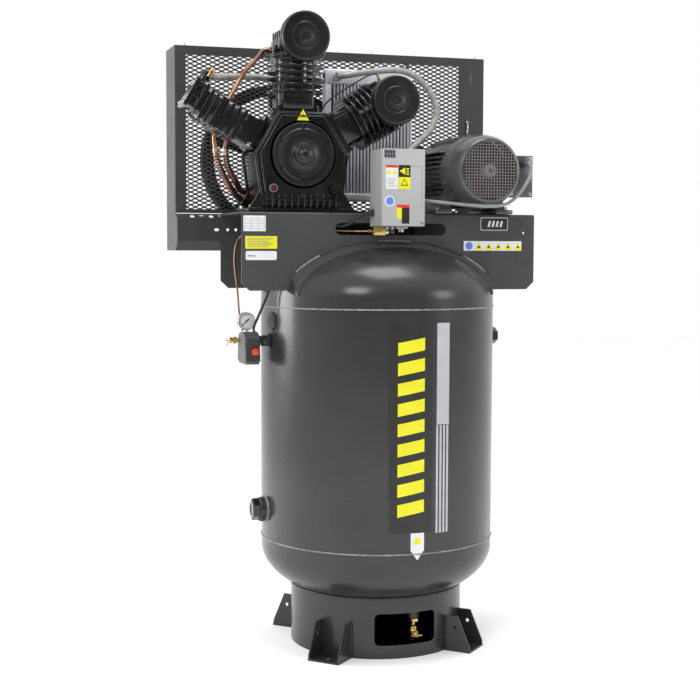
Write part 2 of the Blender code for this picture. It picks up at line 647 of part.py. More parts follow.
# ---------------------------------------------------------------- drive
def wheel_profile(rim, groove, half_width, inner):
    """A grooved rim: two flanges beside the belt."""
    side = BELT_HALF_WIDTH + 0.0012
    return [(inner, DRIVE_Y - half_width), (rim, DRIVE_Y - half_width), (rim, DRIVE_Y - side),
            (groove, DRIVE_Y - side), (groove, DRIVE_Y + side), (rim, DRIVE_Y + side),
            (rim, DRIVE_Y + half_width), (inner, DRIVE_Y + half_width)]


def build_flywheel():
    rim = turned(wheel_profile(FLYWHEEL_RADIUS, FLYWHEEL_RADIUS - GROOVE_DEPTH, 0.026, 0.212), 36, "Y",
                 CRANK_CENTRE, ring=True)
    wheel = part("flywheel", rim, "black_gloss", CRANK_CENTRE)
    for k in range(5):
        spoke = prism([(-0.014, 0.03), (0.014, 0.03), (0.022, 0.222), (-0.022, 0.222)], DRIVE_Y - 0.010,
                      DRIVE_Y + 0.010, "Y")
        turn = Matrix.Translation(CRANK_CENTRE) @ Matrix.Rotation(2 * pi * k / 5, 4, "Y")
        bmesh.ops.transform(spoke, matrix=turn, verts=spoke.verts)
        join(wheel, spoke)
    join(wheel, rod(0.045, 0.193, 0.250, "Y", CRANK_CENTRE))
    cut(wheel, rod(0.022 + GAP, 0.15, 0.30, "Y", CRANK_CENTRE))


def belt_outline(large, small):
    """A loop round two circles at the drive's wheels: two arcs joined by the outer tangents."""
    dx, dz = MOTOR_X - CRANK_X, MOTOR_Z - CRANK_Z
    tilt = degrees(atan2(dz, dx))
    touch = degrees(acos((large - small) / hypot(dx, dz)))
    return (arc((CRANK_X, CRANK_Z), large, tilt + touch, tilt + 360 - touch, 32)
            + arc((MOTOR_X, MOTOR_Z), small, tilt - touch, tilt + touch, 12))


def build_belt():
    inner = FLYWHEEL_RADIUS - GROOVE_DEPTH + 0.0006, PULLEY_RADIUS - GROOVE_DEPTH + 0.0006
    belt_y = DRIVE_Y - BELT_HALF_WIDTH, DRIVE_Y + BELT_HALF_WIDTH
    outer = inner[0] + BELT_DEPTH, inner[1] + BELT_DEPTH
    belt = part("drive_belt", prism(belt_outline(*outer), *belt_y, "Y"), "rubber")
    cut(belt, prism(belt_outline(*inner), belt_y[0] - 0.01, belt_y[1] + 0.01, "Y"))


# ---------------------------------------------------------------- motor
MOTOR_CENTRE = (MOTOR_X, 0, MOTOR_Z)


def build_motor():
    shell = [(0.021, -0.166), (0.106, -0.166), (0.113, -0.158), (0.113, 0.090), (0.098, 0.118),
             (0.048, 0.126), (0.021, 0.126), (0.021, 0.112), (0.090, 0.104), (0.103, 0.085),
             (0.103, 0.045), (0.067, 0.045),
             (0.067, -0.095), (0.103, -0.095), (0.103, -0.150), (0.021, -0.154)]
    frame = part("motor_frame", turned(shell, 24, "Y", MOTOR_CENTRE, ring=True), "motor_paint")
    y = (-0.150, 0.080)
    fins = []
    for k in range(9):
        height = -0.064 + 0.016 * k
        for side in (-1, 1):
            inner, outer = sqrt(0.109 ** 2 - height ** 2), sqrt(0.134 ** 2 - height ** 2)
            x = sorted((MOTOR_X + side * inner, MOTOR_X + side * outer))
            fins.append(box(x, y, (MOTOR_Z + height - 0.002, MOTOR_Z + height + 0.002)))
    join(frame, together(*fins))
    for side in (-1, 1):
        rail = box(sorted((MOTOR_X + side * 0.076, MOTOR_X + side * 0.135)), (-0.172, 0.066),
                   (PLATFORM_TOP + GAP, PLATFORM_TOP + 0.015))
        leg = prism([(MOTOR_X + side * 0.082, PLATFORM_TOP + 0.010),
                     (MOTOR_X + side * 0.118, PLATFORM_TOP + 0.010),
                     (MOTOR_X + side * 0.098, MOTOR_Z - 0.055), (MOTOR_X + side * 0.068, MOTOR_Z - 0.086)],
                    -0.150, 0.046, "Y")
        join(frame, rail, leg)
    cowl = [(0.1165, -0.1665), (0.118, -0.1665), (0.118, -0.215), (0.1155, -0.240), (0.110, -0.265),
            (GRILLE_RADIUS + 0.004, -0.290), (GRILLE_RADIUS, -0.296), (0, -0.298), (0, -0.2955),
            (GRILLE_RADIUS - 0.002, -0.2935), (0.1075, -0.264), (0.113, -0.239), (0.1155, -0.215)]
    cover = part("motor_fan_cover", turned(cowl, 32, "Y", MOTOR_CENTRE, ring=True), "motor_paint")
    holes = []
    for ring_radius, count in ((0.040, 7), (0.072, 13)):
        for k in range(count):
            angle = 2 * pi * k / count
            x, z = MOTOR_X + ring_radius * cos(angle), MOTOR_Z + ring_radius * sin(angle)
            holes.append(box((x - 0.008, x + 0.008), (-0.32, -0.28), (z - 0.008, z + 0.008)))
    cut(cover, together(*holes))


def build_rotor():
    shaft = part("motor_rotor", rod(0.019, -0.262, 0.258, "Y", MOTOR_CENTRE), "steel", MOTOR_CENTRE)
    join(shaft, rod(0.065, -0.090, 0.040, "Y", MOTOR_CENTRE))
    hub_bore = 0.019 + GAP
    fan = part("motor_fan", tube(0.034, hub_bore, -0.250, -0.215, "Y", MOTOR_CENTRE, 20), "red_plastic",
               MOTOR_CENTRE)
    for k in range(7):
        blade = box((0.028, 0.090), (-0.252, -0.212), (-0.0018, 0.0018))
        turn = Matrix.Translation(MOTOR_CENTRE) @ Matrix.Rotation(2 * pi * k / 7, 4, "Y")
        bmesh.ops.transform(blade, matrix=turn, verts=blade.verts)
        join(fan, blade)
    pulley = wheel_profile(PULLEY_RADIUS, PULLEY_RADIUS - GROOVE_DEPTH, 0.024, hub_bore)
    part("motor_pulley", turned(pulley, 28, "Y", MOTOR_CENTRE, ring=True), "cast_iron", MOTOR_CENTRE)


def build_terminal_box():
    terminal = part("motor_terminal_box", box((0.4076, 0.497), (-0.130, 0.020), (1.462, 1.599)),
                    "motor_paint", smooth=False)
    bevel = terminal.modifiers.new("edges", "BEVEL")
    bevel.width = 0.006
    bevel.segments = 1
    join(terminal, rod(0.013, -0.150, -0.125, "Y", (0.462, 0, 1.572), 8))


# ---------------------------------------------------------------- belt guard
def guard_outline(inset):
    """The tray's end view: a plain back, and a trough that steps forward below the platform's top."""
    back, top, low = GUARD_REAR - inset, GUARD_TOP - inset, GUARD_LOW + inset
    front = TROUGH_FRONT + inset
    return [(back, low), (back, top), (PANEL_BACK + GAP, top), (PANEL_BACK + GAP, PANEL_LOW - inset),
            (0.185 + inset / 2, PANEL_LOW - inset), (front, 1.388 - inset / 2), (front, 1.315 + inset / 2),
            (0.185 + inset / 2, low)]


def build_guard():
    sheet = 0.0025
    tray = part("guard_tray", prism(guard_outline(0), GUARD_LEFT, GUARD_RIGHT, "X"), "guard_paint",
                smooth=False)
    cut(tray, prism(guard_outline(sheet), GUARD_LEFT + sheet, GUARD_RIGHT - sheet, "X"))
    mouth = box((GUARD_LEFT + sheet, GUARD_RIGHT - sheet), (0.170, 0.200),
                (PANEL_LOW + 0.001, GUARD_TOP - sheet))
    rear = box((GUARD_LEFT + 0.024, GUARD_RIGHT - 0.024), (0.30, 0.36),
               (GUARD_LOW + 0.024, GUARD_TOP - 0.024))
    cut(tray, mouth, rear, tank_solid(0.015))
    panel = part("guard_mesh_panel", box((GUARD_LEFT, GUARD_RIGHT), (PANEL_FRONT, PANEL_BACK),
                                         (PANEL_LOW + 0.002, GUARD_TOP)), "guard_paint", smooth=False)
    cells = []
    columns, rows = 10, 5
    left, right, low, high = -0.600, 0.356, 1.425, 1.913
    width, height = (right - left) / columns, (high - low) / rows
    for column in range(columns):
        for row in range(rows):
            x, z = left + width * (column + 0.5), low + height * (row + 0.5)
            near_crank = hypot(x - CRANK_X, z - CRANK_Z) < 0.11
            near_motor = hypot(x - MOTOR_X, z - MOTOR_Z) < 0.10
            if not (near_crank or near_motor):
                a, b = width * 0.44, height * 0.44
                cells.append(prism([(x - a, z), (x, z - b), (x + a, z), (x, z + b)], 0.17, 0.20, "Y"))
    cut(panel, together(*cells), rod(0.058, 0.15, 0.22, "Y", CRANK_CENTRE),
        rod(0.040, 0.15, 0.22, "Y", MOTOR_CENTRE))


# ---------------------------------------------------------------- air and electrics
def bank_point(bank, along_axis, across, y):
    """A place given along a cylinder's axis and square to it, in the machine's frame."""
    lean = radians(BANKS[bank][0])
    return (CRANK_X + along_axis * sin(lean) + across * cos(lean), y,
            CRANK_Z + along_axis * cos(lean) - across * sin(lean))


COOLER_X, COOLER_Y, COOLER_Z = (-0.145, 0.160), (0.108, 0.150), (1.450, 1.885)


def build_cooler():
    cooler = part("aftercooler", box(COOLER_X, COOLER_Y, COOLER_Z), "aluminium", smooth=False)
    bars = 11
    pitch = (COOLER_X[1] - COOLER_X[0] - 0.050) / bars
    slots = [box((COOLER_X[0] + 0.027 + pitch * k, COOLER_X[0] + 0.021 + pitch * (k + 1)), (0.05, 0.2),
                 (COOLER_Z[0] + 0.030, COOLER_Z[1] - 0.075)) for k in range(bars)]
    cut(cooler, together(*slots))
    brackets = [box((x, x + 0.024), (COOLER_Y[1] - 0.004, PANEL_FRONT - GAP), (z, z + 0.004))
                for x in (COOLER_X[0] + 0.002, COOLER_X[1] - 0.026) for z in (1.470, 1.860)]
    join(cooler, together(*brackets))


def build_pipes():
    discharge = [(-0.110, COOLER_Y[0] - GAP, 1.857), (-0.110, 0.094, 1.857), (-0.092, 0.078, 1.860),
                 (0.0, 0.074, 1.876), (0.090, 0.072, 1.884), (0.150, 0.068, 1.868), (0.200, 0.060, 1.820),
                 (0.224, 0.050, 1.757), (0.198, 0.036, 1.690), (0.134, 0.012, 1.632), (0.066, -0.020, 1.570),
                 (0.035, -0.038, 1.500), (0.030, -0.040, 1.430), (0.030, -0.040, 1.350)]
    line = part("discharge_pipe", pipe(discharge, 0.0100), "steel")
    join(line, rod(0.0165, INLET_FACE + GAP, 1.376, "Z", (*INLET, 0), 6))
    braided = [bank_point("left", 0.3655, 0.0446, -0.004), bank_point("left", 0.3655, 0.062, -0.004),
               bank_point("left", 0.3600, 0.082, -0.004), bank_point("left", 0.3380, 0.090, 0.002),
               (-0.505, 0.020, 1.833), (-0.460, 0.042, 1.838), (-0.410, 0.064, 1.842), (-0.340, 0.092, 1.842),
               (-0.250, 0.116, 1.842), (-0.190, 0.128, 1.846), (COOLER_X[0] - GAP, 0.128, 1.846)]
    part("outlet_pipe", pipe(braided, 0.0112), "steel")
    copper = [(CRANK_X - 0.0644, -0.020, 1.920), (-0.366, -0.020, 1.920), (-0.390, -0.020, 1.914),
              (-0.408, -0.022, 1.892), (-0.438, -0.024, 1.862), bank_point("left", 0.2700, 0.120, -0.026),
              bank_point("left", 0.2700, 0.0560, -0.026), bank_point("left", 0.2700, 0.0415, -0.026)]
    part("interstage_pipe", pipe(copper, 0.0078), "copper")


def build_intercooler():
    """Two finned tubes from under the left cylinder round behind the crankcase to a small header."""
    first = [bank_point("left", 0.2505, -0.0654, -0.014), bank_point("left", 0.2505, -0.076, -0.014),
             (-0.5450, -0.014, 1.620), (-0.5360, -0.012, 1.5695), (-0.5180, 0.002, 1.529),
             (-0.4900, 0.022, 1.490), (-0.4500, 0.058, 1.452), (-0.404, 0.092, 1.440), (-0.340, 0.108, 1.434),
             (-0.260, 0.108, 1.434), (-0.240, 0.108, 1.434)]
    second = [bank_point("left", 0.2055, -0.0654, -0.006), bank_point("left", 0.2055, -0.076, -0.006),
              (-0.5105, -0.004, 1.598), (-0.5010, 0.006, 1.557), (-0.4870, 0.016, 1.531),
              (-0.4640, 0.034, 1.500), (-0.4440, 0.064, 1.478), (-0.404, 0.092, 1.467), (-0.330, 0.108, 1.462),
              (-0.260, 0.108, 1.462), (-0.240, 0.108, 1.462)]
    tubes = part("intercooler_tubes", pipe(first, 0.0090), "copper")
    join(tubes, pipe(second, 0.0090), box((-0.252, -0.226), (CASE_REAR + GAP, 0.122), (1.422, 1.476)))


def build_small_lines():
    start_at = [(0.0704, 0.1405), (0.0760, 0.1405), (0.0865, 0.1500), (0.0945, 0.1635)]
    over = [(0.190, -0.103), (0.240, -0.107), (0.290, -0.108), (0.335, -0.107), (0.360, -0.099),
            (0.362, -0.084), (0.362, -0.0644)]
    unloader = ([bank_point("center", up, across, -0.055) for across, up in start_at]
                + [bank_point("right", up, across, -0.066) for up, across in over])
    part("unloader_tube", pipe(unloader, 0.0028, 6), "black_plastic")
    pilot = [(-0.456, -0.006, SWITCH_Z[1] + GAP), (-0.456, -0.006, 1.045), (-0.4655, -0.006, 1.085),
             (-0.4725, -0.008, 1.165), (-0.4810, -0.008, 1.241), (-0.4785, -0.008, 1.290),
             (-0.4680, -0.010, 1.322), (-0.4540, -0.020, 1.334), (-0.420, -0.045, 1.344),
             (-0.340, -0.110, 1.352), (-0.240, -0.138, 1.350),
             (-0.160, -0.1415, 1.348), (-0.120, -0.146, 1.347), (-0.095, -0.162, 1.347),
             (-0.070, -0.172, 1.347)]
    line = part("pilot_tube", pipe(pilot, 0.0031, 6), "copper")
    join(line, box((-0.074, -0.034), (-0.188, -0.160), (1.334, 1.3610)))
    switch_cable = [(-0.430, -0.060, SWITCH_Z[1] + GAP), (-0.430, -0.060, 1.045), (-0.412, -0.074, 1.095),
                    (-0.393, -0.096, 1.155), (-0.383, -0.100, 1.215), (-0.360, -0.096, 1.290),
                    (-0.318, -0.098, 1.348), (-0.270, -0.108, 1.366), (-0.230, -0.120, 1.366),
                    (-0.190, -0.134, 1.364), (-0.163, -0.150, 1.3625), (-0.140, -0.170, 1.374),
                    (-0.112, -0.186, 1.397), (-0.096, -0.190, 1.404), (BOX_LEFT - GAP, -0.190, 1.404)]
    part("switch_cable", pipe(switch_cable, 0.0042), "rubber")
    motor_cable = [(BOX_RIGHT + GAP, -0.215, 1.443), (0.090, -0.215, 1.443), (0.140, -0.250, 1.437),
                   (0.200, -0.284, 1.430), (0.270, -0.296, 1.426), (0.335, -0.280, 1.434),
                   (0.390, -0.244, 1.462), (0.434, -0.212, 1.502), (0.460, -0.192, 1.540),
                   (0.462, -0.178, 1.566), (0.462, -0.166, 1.572), (0.462, -0.1504, 1.572)]
    part("motor_cable", pipe(motor_cable, 0.0054), "grey_plastic")


def build_starter():
    wall = 0.0025
    shell = part("starter_box", box((BOX_LEFT, BOX_RIGHT), (BOX_FRONT, BOX_BACK), (BOX_LOW, BOX_TOP)),
                 "box_paint", smooth=False)
    cut(shell, box((BOX_LEFT + wall, BOX_RIGHT - wall), (BOX_FRONT - 0.01, BOX_BACK - wall),
                   (BOX_LOW + wall, BOX_TOP - wall)))
    join(shell, box((-0.045, 0.042), (BOX_BACK - 0.070, BOX_BACK - 0.001), (1.44, 1.56)))
    pivot = (BOX_LEFT, BOX_FRONT - GAP, (BOX_LOW + BOX_TOP) / 2)
    door = part("starter_door", box((BOX_LEFT, BOX_RIGHT), (BOX_FRONT - GAP - DOOR_DEPTH, BOX_FRONT - GAP),
                                    (BOX_LOW, BOX_TOP)), "box_paint", pivot, smooth=False)
    bevel = door.modifiers.new("edges", "BEVEL")
    bevel.width = 0.003
    bevel.segments = 1


start()
build_tank()
build_skirt()
build_feet()
build_platform()
hex_plug("port_plug_left", "left", 0.037)
hex_plug("port_plug_right", "right", 0.028)
build_drain()
build_switch()
build_safety_valve()
build_crankcase()
build_crankshaft()
build_low_pressure("center")
build_low_pressure("right")
build_high_pressure()
build_pistons()
build_filters()
build_oil_fittings()
build_flywheel()
build_belt()
build_motor()
build_rotor()
build_terminal_box()
build_guard()
build_cooler()
build_pipes()
build_intercooler()
build_small_lines()
build_starter()
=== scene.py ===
"""The looks of an upright two-stage air compressor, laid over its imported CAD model.

Metres, +Z up. Shapes are drawn from the tank's own axis, like the CAD, and then moved to AXIS.
"""
import json
from math import acos, atan2, cos, degrees, hypot, pi, radians, sin, sqrt

import bmesh
import bpy
from mathutils import Euler, Matrix, Vector, noise


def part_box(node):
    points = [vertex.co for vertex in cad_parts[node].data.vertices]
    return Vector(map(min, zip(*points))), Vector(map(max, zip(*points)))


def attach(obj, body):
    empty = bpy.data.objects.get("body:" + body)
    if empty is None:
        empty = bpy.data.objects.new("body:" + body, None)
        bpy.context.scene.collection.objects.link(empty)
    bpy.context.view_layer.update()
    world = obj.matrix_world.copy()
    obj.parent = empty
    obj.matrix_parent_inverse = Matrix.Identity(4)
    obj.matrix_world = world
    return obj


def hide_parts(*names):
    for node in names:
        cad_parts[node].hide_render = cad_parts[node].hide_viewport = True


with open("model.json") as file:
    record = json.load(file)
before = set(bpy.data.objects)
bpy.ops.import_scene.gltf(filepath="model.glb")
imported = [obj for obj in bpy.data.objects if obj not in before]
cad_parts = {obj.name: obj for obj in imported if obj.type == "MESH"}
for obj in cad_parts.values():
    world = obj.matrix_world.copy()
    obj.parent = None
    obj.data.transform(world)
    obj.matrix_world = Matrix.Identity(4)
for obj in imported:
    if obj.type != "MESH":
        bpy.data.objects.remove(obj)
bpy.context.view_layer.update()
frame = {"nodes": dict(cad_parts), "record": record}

AXIS = (Vector(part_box("tank")[0]) + Vector(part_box("tank")[1])) / 2
AXIS.z = 0

TANK_RADIUS, HEAD_DEPTH = 0.381, 0.19
TANK_LOW, TANK_HIGH = 0.324, 1.137
SKIRT_RADIUS, SKIRT_TOP = 0.282, 0.1925
PLATFORM_HALF_LENGTH, PLATFORM_HALF_DEPTH = 0.492, 0.1535
PLATFORM_TOP, FLANGE_LOW, SHEET = 1.4046, 1.161, 0.005
INLET = (0.03, -0.04)
DRAIN, VALVE_Z = (0.06, -0.205), 0.057

CRANK_X, CRANK_Z = -0.291, 1.585
CRANK = (CRANK_X, 0, CRANK_Z)
FACE = 0.133                     # from the crank axis to each cylinder's seat
CASE_FRONT, CASE_REAR = -0.137, 0.06
BANKS = {"right": (60, -0.07), "center": (0, -0.037), "left": (-60, -0.004)}
BORES = {"right": 0.045, "center": 0.045, "left": 0.03}
BARREL_TOP, FIN_RADIUS, HEAD_TOP = 0.306, 0.09, 0.39
SMALL_BARREL_TOP, SMALL_ASIDE = 0.28, -0.012
DRIVE_Y = 0.222
FLYWHEEL_RADIUS, PULLEY_RADIUS = 0.25, 0.084
MOTOR_X, MOTOR_Z = 0.273, PLATFORM_TOP + 0.133
MOTOR = (MOTOR_X, 0, MOTOR_Z)

GUARD_LEFT, GUARD_RIGHT = -0.634, 0.45
GUARD_TOP, GUARD_LOW, GUARD_REAR = 1.95, 1.284, 0.345
PANEL_FRONT, PANEL_BACK, PANEL_LOW = 0.1845, 0.1875, 1.405
TROUGH_FRONT = PLATFORM_HALF_DEPTH + 0.0004
BOX_X, BOX_Z = (-0.076, 0.064), (1.362, 1.6)
BOX_FRONT, BOX_BACK = -0.262, -0.1539
COOLER_X, COOLER_Y, COOLER_Z = (-0.145, 0.16), (0.108, 0.15), (1.45, 1.885)
SWITCH_X, SWITCH_Y, SWITCH_Z = (-0.465, -0.4165), (-0.09, 0.022), (0.926, 1.028)
GAUGE = (-0.449, -0.03, 1.0605)
GAUGE_ZERO, GAUGE_SWEEP = -132, 264          # the pointer's start and travel, in degrees
NIPPLE = (0, -0.043, 0.998)
LEFT_PORT_Z, RIGHT_PORT_Z = 0.448, 1.001
MOTOR_GLAND, SWITCH_GLAND = (-0.215, 1.443), (-0.19, 1.404)
PRINT, OVERPRINT = 0.0009, 0.0013             # how far printed marks stand proud of a face


# ---------------------------------------------------------------- materials
def graph(material):
    """Small helpers that add nodes to a material and join them."""
    nodes, links = material.node_tree.nodes, material.node_tree.links

    def add(kind, inputs=(), **settings):
        node = nodes.new(f"ShaderNode{kind}")
        for key, value in settings.items():
            setattr(node, key, value)
        for key, value in dict(inputs).items():
            if isinstance(value, bpy.types.NodeSocket):
                links.new(value, node.inputs[key])
            else:
                node.inputs[key].default_value = value
        return node

    return nodes["Principled BSDF"], add, links


def noisy(add, scale, detail=4.0, stretch=(1, 1, 1)):
    """A noise texture in object space, stretched along an axis if wanted."""
    place = add("TexCoord").outputs["Object"]
    place = add("Mapping", {"Vector": place, "Scale": stretch}).outputs["Vector"]
    return add("TexNoise", {"Vector": place, "Scale": scale, "Detail": detail}).outputs["Fac"]


def spread(add, value, low, high, start=0.3, end=0.7):
    """A noise value mapped to a range."""
    mapped = add("MapRange", {"Value": value, "From Min": start, "From Max": end, "To Min": low,
        "To Max": high})
    return mapped.outputs["Result"]


def blended(add, factor, dark, light):
    mix = add("Mix", {"Factor": factor}, data_type="RGBA")
    mix.inputs[6].default_value = (*dark, 1)
    mix.inputs[7].default_value = (*light, 1)
    return mix.outputs[2]


def surface(name, dark, light, rough, metallic=0.0, grain=40, bump=(300, 0.05), stretch=(1, 1, 1),
        coat=0.0, dust=0.0, shine=0.5):
    """A finish with slow colour drift, uneven gloss and a fine relief.

    dark and light are the ends of the drift; bump is the relief's scale and strength.
    """
    made = bpy.data.materials.new(name)
    made.use_nodes = True
    shader, add, links = graph(made)
    drift = noisy(add, grain, 6.0, stretch)
    colour = blended(add, spread(add, drift, 0.0, 1.0), dark, light)
    if dust:
        grey = add("Mix", {"Factor": spread(add, noisy(add, 9, 8.0), 0.0, dust, 0.45, 0.75), 6: colour},
            data_type="RGBA")
        grey.inputs[7].default_value = (0.32, 0.31, 0.3, 1)
        colour = grey.outputs[2]
    links.new(colour, shader.inputs["Base Color"])
    gloss = spread(add, noisy(add, grain * 0.6, 5.0, stretch), rough[0], rough[1])
    links.new(gloss, shader.inputs["Roughness"])
    relief = add("Bump", {"Height": noisy(add, bump[0], 3.0, stretch), "Strength": bump[1],
        "Distance": 0.001})
    links.new(relief.outputs["Normal"], shader.inputs["Normal"])
    shader.inputs["Metallic"].default_value = metallic
    shader.inputs["Coat Weight"].default_value = coat
    shader.inputs["Specular IOR Level"].default_value = shine
    shader.inputs["Coat Roughness"].default_value = 0.12
    return made


def heat_tinted():
    """Copper tube that turns from bright orange through brown to a grey violet heat tint, in patches spread
    by noise.
    """
    made = surface("copper", (0.26, 0.12, 0.065), (0.58, 0.31, 0.19), (0.22, 0.42), 1.0, 30, (500, 0.1))
    shader, add, links = graph(made)
    clean = shader.inputs["Base Color"].links[0].from_socket
    tint = add("Mix", {"Factor": spread(add, noisy(add, 14, 2.0), 0.0, 0.85, 0.5, 0.62), 6: clean},
        data_type="RGBA")
    tint.inputs[7].default_value = (0.25, 0.18, 0.21, 1)
    links.new(tint.outputs[2], shader.inputs["Base Color"])
    return made


# look: its material slot, dark, light, rough, metallic, grain, bump, and what else is not plain
FINISHES = {
    "grey_paint": ("grey_paint", (0.027, 0.028, 0.028), (0.034, 0.035, 0.035), (0.2, 0.3), 0.0, 7,
        (420, 0.1), {"coat": 0.1, "shine": 0.4}),
    "guard_paint": ("guard_paint", (0.042, 0.043, 0.044), (0.053, 0.054, 0.055), (0.34, 0.46), 0.0, 9,
        (420, 0.1), {"shine": 0.3}),
    "black_gloss": ("black_gloss", (0.0022, 0.0022, 0.0025), (0.007, 0.007, 0.0075), (0.1, 0.26), 0.0, 25,
        (190, 0.26), {"coat": 0.4, "dust": 0.02}),
    "motor_paint": ("motor_paint", (0.058, 0.06, 0.061), (0.076, 0.078, 0.08), (0.18, 0.28), 0.0, 12,
        (260, 0.1), {"coat": 0.3}),
    "box_paint": ("box_paint", (0.375, 0.38, 0.382), (0.42, 0.425, 0.427), (0.34, 0.46), 0.0, 10,
        (600, 0.1), {}),
    "steel": ("steel", (0.36, 0.36, 0.35), (0.62, 0.62, 0.6), (0.2, 0.38), 1.0, 60, (700, 0.08), {}),
    "aluminium": ("aluminium", (0.72, 0.72, 0.79), (0.86, 0.86, 0.92), (0.34, 0.5), 0.15, 30, (500, 0.08),
        {"stretch": (1, 1, 0.2)}),
    "brass": ("brass", (0.52, 0.33, 0.09), (0.82, 0.6, 0.24), (0.18, 0.34), 1.0, 50, (400, 0.1), {}),
    "rubber": ("rubber", (0.01, 0.01, 0.01), (0.02, 0.02, 0.02), (0.55, 0.75), 0.0, 60, (600, 0.25),
        {"dust": 0.08}),
    "red_plastic": ("red_plastic", (0.62, 0.03, 0.015), (0.8, 0.06, 0.03), (0.28, 0.4), 0.0, 60,
        (500, 0.1), {}),
    "black_plastic": ("black_plastic", (0.02, 0.02, 0.021), (0.034, 0.034, 0.035), (0.38, 0.55), 0.0, 60,
        (700, 0.3), {}),
    "grey_plastic": ("grey_plastic", (0.2, 0.2, 0.2), (0.27, 0.27, 0.27), (0.35, 0.5), 0.0, 40,
        (500, 0.12), {}),
    "cast_iron": ("cast_iron", (0.06, 0.058, 0.055), (0.12, 0.115, 0.11), (0.45, 0.65), 0.5, 50,
        (220, 0.45), {}),
    "switch_grey": ("black_plastic", (0.075, 0.077, 0.078), (0.105, 0.107, 0.108), (0.4, 0.55), 0.0, 50,
        (600, 0.25), {}),
    "fan_red": ("red_plastic", (0.08, 0.01, 0.009), (0.14, 0.02, 0.018), (0.4, 0.6), 0.0, 30, (300, 0.15),
        {"shine": 0.15}),
    "filter_black": ("black_gloss", (0.0025, 0.0025, 0.0028), (0.007, 0.007, 0.0074), (0.28, 0.42), 0.0,
        25, (190, 0.2), {}),
    "platform_paint": ("grey_paint", (0.05, 0.051, 0.052), (0.062, 0.063, 0.064), (0.24, 0.36), 0.0, 7,
        (420, 0.1), {"coat": 0.1, "shine": 0.4}),
    "braid": ("steel", (0.24, 0.24, 0.23), (0.42, 0.42, 0.4), (0.38, 0.55), 0.3, 70, (900, 0.6), {}),
    # painted shade: the finned tubes' core, dark brown as the shade between the copper fin rings
    "tube_core_painted_shade": ("copper", (0.03, 0.018, 0.014), (0.075, 0.045, 0.035), (0.4, 0.6), 0.2, 60, (300, 0.2),
        {}),
    # painted highlight: weld beads lighter grey and partly metallic, standing in for the bright line of
    # light along them
    "weld_painted_highlight": ("grey_paint", (0.16, 0.16, 0.16), (0.34, 0.34, 0.34), (0.22, 0.45), 0.3, 60, (500, 0.3), {}),
    "grille": ("motor_paint", (0.11, 0.102, 0.097), (0.16, 0.15, 0.143), (0.4, 0.55), 0.0, 30,
        (300, 0.12), {}),
    # painted shade: near-black fins standing for the shade between the cooler's bars
    "fin_painted_shade": ("aluminium", (0.012, 0.013, 0.018), (0.03, 0.031, 0.04), (0.5, 0.7), 0.3, 30, (300, 0.2),
        {}),
}

# sticker: its material slot, dark, light, rough, metallic
STICKERS = {
    "decal_black": ("black_plastic", (0.012, 0.012, 0.012), (0.018, 0.018, 0.018), (0.3, 0.4), 0.0),
    "decal_yellow": ("grey_plastic", (0.72, 0.68, 0.01), (0.78, 0.74, 0.015), (0.3, 0.4), 0.0),
    "decal_white": ("grey_plastic", (0.68, 0.69, 0.72), (0.76, 0.77, 0.8), (0.32, 0.42), 0.0),
    "decal_silver": ("grey_plastic", (0.42, 0.43, 0.46), (0.5, 0.51, 0.54), (0.28, 0.38), 0.2),
    "decal_grey": ("grey_plastic", (0.16, 0.16, 0.17), (0.22, 0.22, 0.23), (0.32, 0.42), 0.0),
    "decal_red": ("red_plastic", (0.62, 0.02, 0.015), (0.7, 0.03, 0.02), (0.3, 0.4), 0.0),
    "decal_blue": ("grey_plastic", (0.1, 0.18, 0.6), (0.14, 0.24, 0.7), (0.3, 0.4), 0.0),
}


def all_looks():
    """Every finish under its name, as a pair of slot and material."""
    made = {"copper": ("copper", heat_tinted())}
    for name, (slot, *values, more) in FINISHES.items():
        made[name] = (slot, surface(name, *values, **more))
    for name, (slot, *values) in STICKERS.items():
        made[name] = (slot, surface(name, *values, 20, (500, 0.03)))
    return made


LOOKS = all_looks()


# ---------------------------------------------------------------- shapes
PLACE = {
    "X": lambda a, b, height: (height, a, b),
    "Y": lambda a, b, height: (a, height, b),
    "Z": lambda a, b, height: (a, b, height),
}
TO_AXIS = {
    "X": Matrix.Rotation(pi / 2, 4, "Y"),
    "Y": Matrix.Rotation(-pi / 2, 4, "X"),
    "Z": Matrix.Identity(4),
}


def outward(shape):
    bmesh.ops.recalc_face_normals(shape, faces=shape.faces)
    return shape


def transformed(shape, matrix):
    bmesh.ops.transform(shape, matrix=matrix, verts=shape.verts)
    return shape


def swung(shape, centre, angle, axis="Y"):
    """A shape drawn at the origin, turned about an axis and put at its centre."""
    return transformed(shape, Matrix.Translation(centre) @ Matrix.Rotation(angle, 4, axis))


def mirrored(shape):
    """The same shape on the other side, left for right."""
    return outward(transformed(shape, Matrix.Scale(-1, 4, (1, 0, 0))))


def turns(count, extra=0):
    """Equal steps of angle round a circle; an extra step closes it."""
    return [2 * pi * k / count for k in range(count + extra)]


def about(middle, half):
    """The two ends of a span, from its middle."""
    return middle - half, middle + half


def prism(outline, low, high, axis="Z"):
    """An outline drawn across an axis, extruded along it from low to high."""
    shape = bmesh.new()
    place = PLACE[axis]
    lower = [shape.verts.new(place(a, b, low)) for a, b in outline]
    face = shape.faces.new(lower)
    grown = bmesh.ops.extrude_face_region(shape, geom=[face], use_keep_orig=True)
    upper = [part for part in grown["geom"] if isinstance(part, bmesh.types.BMVert)]
    bmesh.ops.translate(shape, verts=upper, vec=place(0, 0, high - low))
    return outward(shape)


def box(x, y, z):
    """A block between two values of each coordinate."""
    return prism([(x[0], y[0]), (x[1], y[0]), (x[1], y[1]), (x[0], y[1])], z[0], z[1])


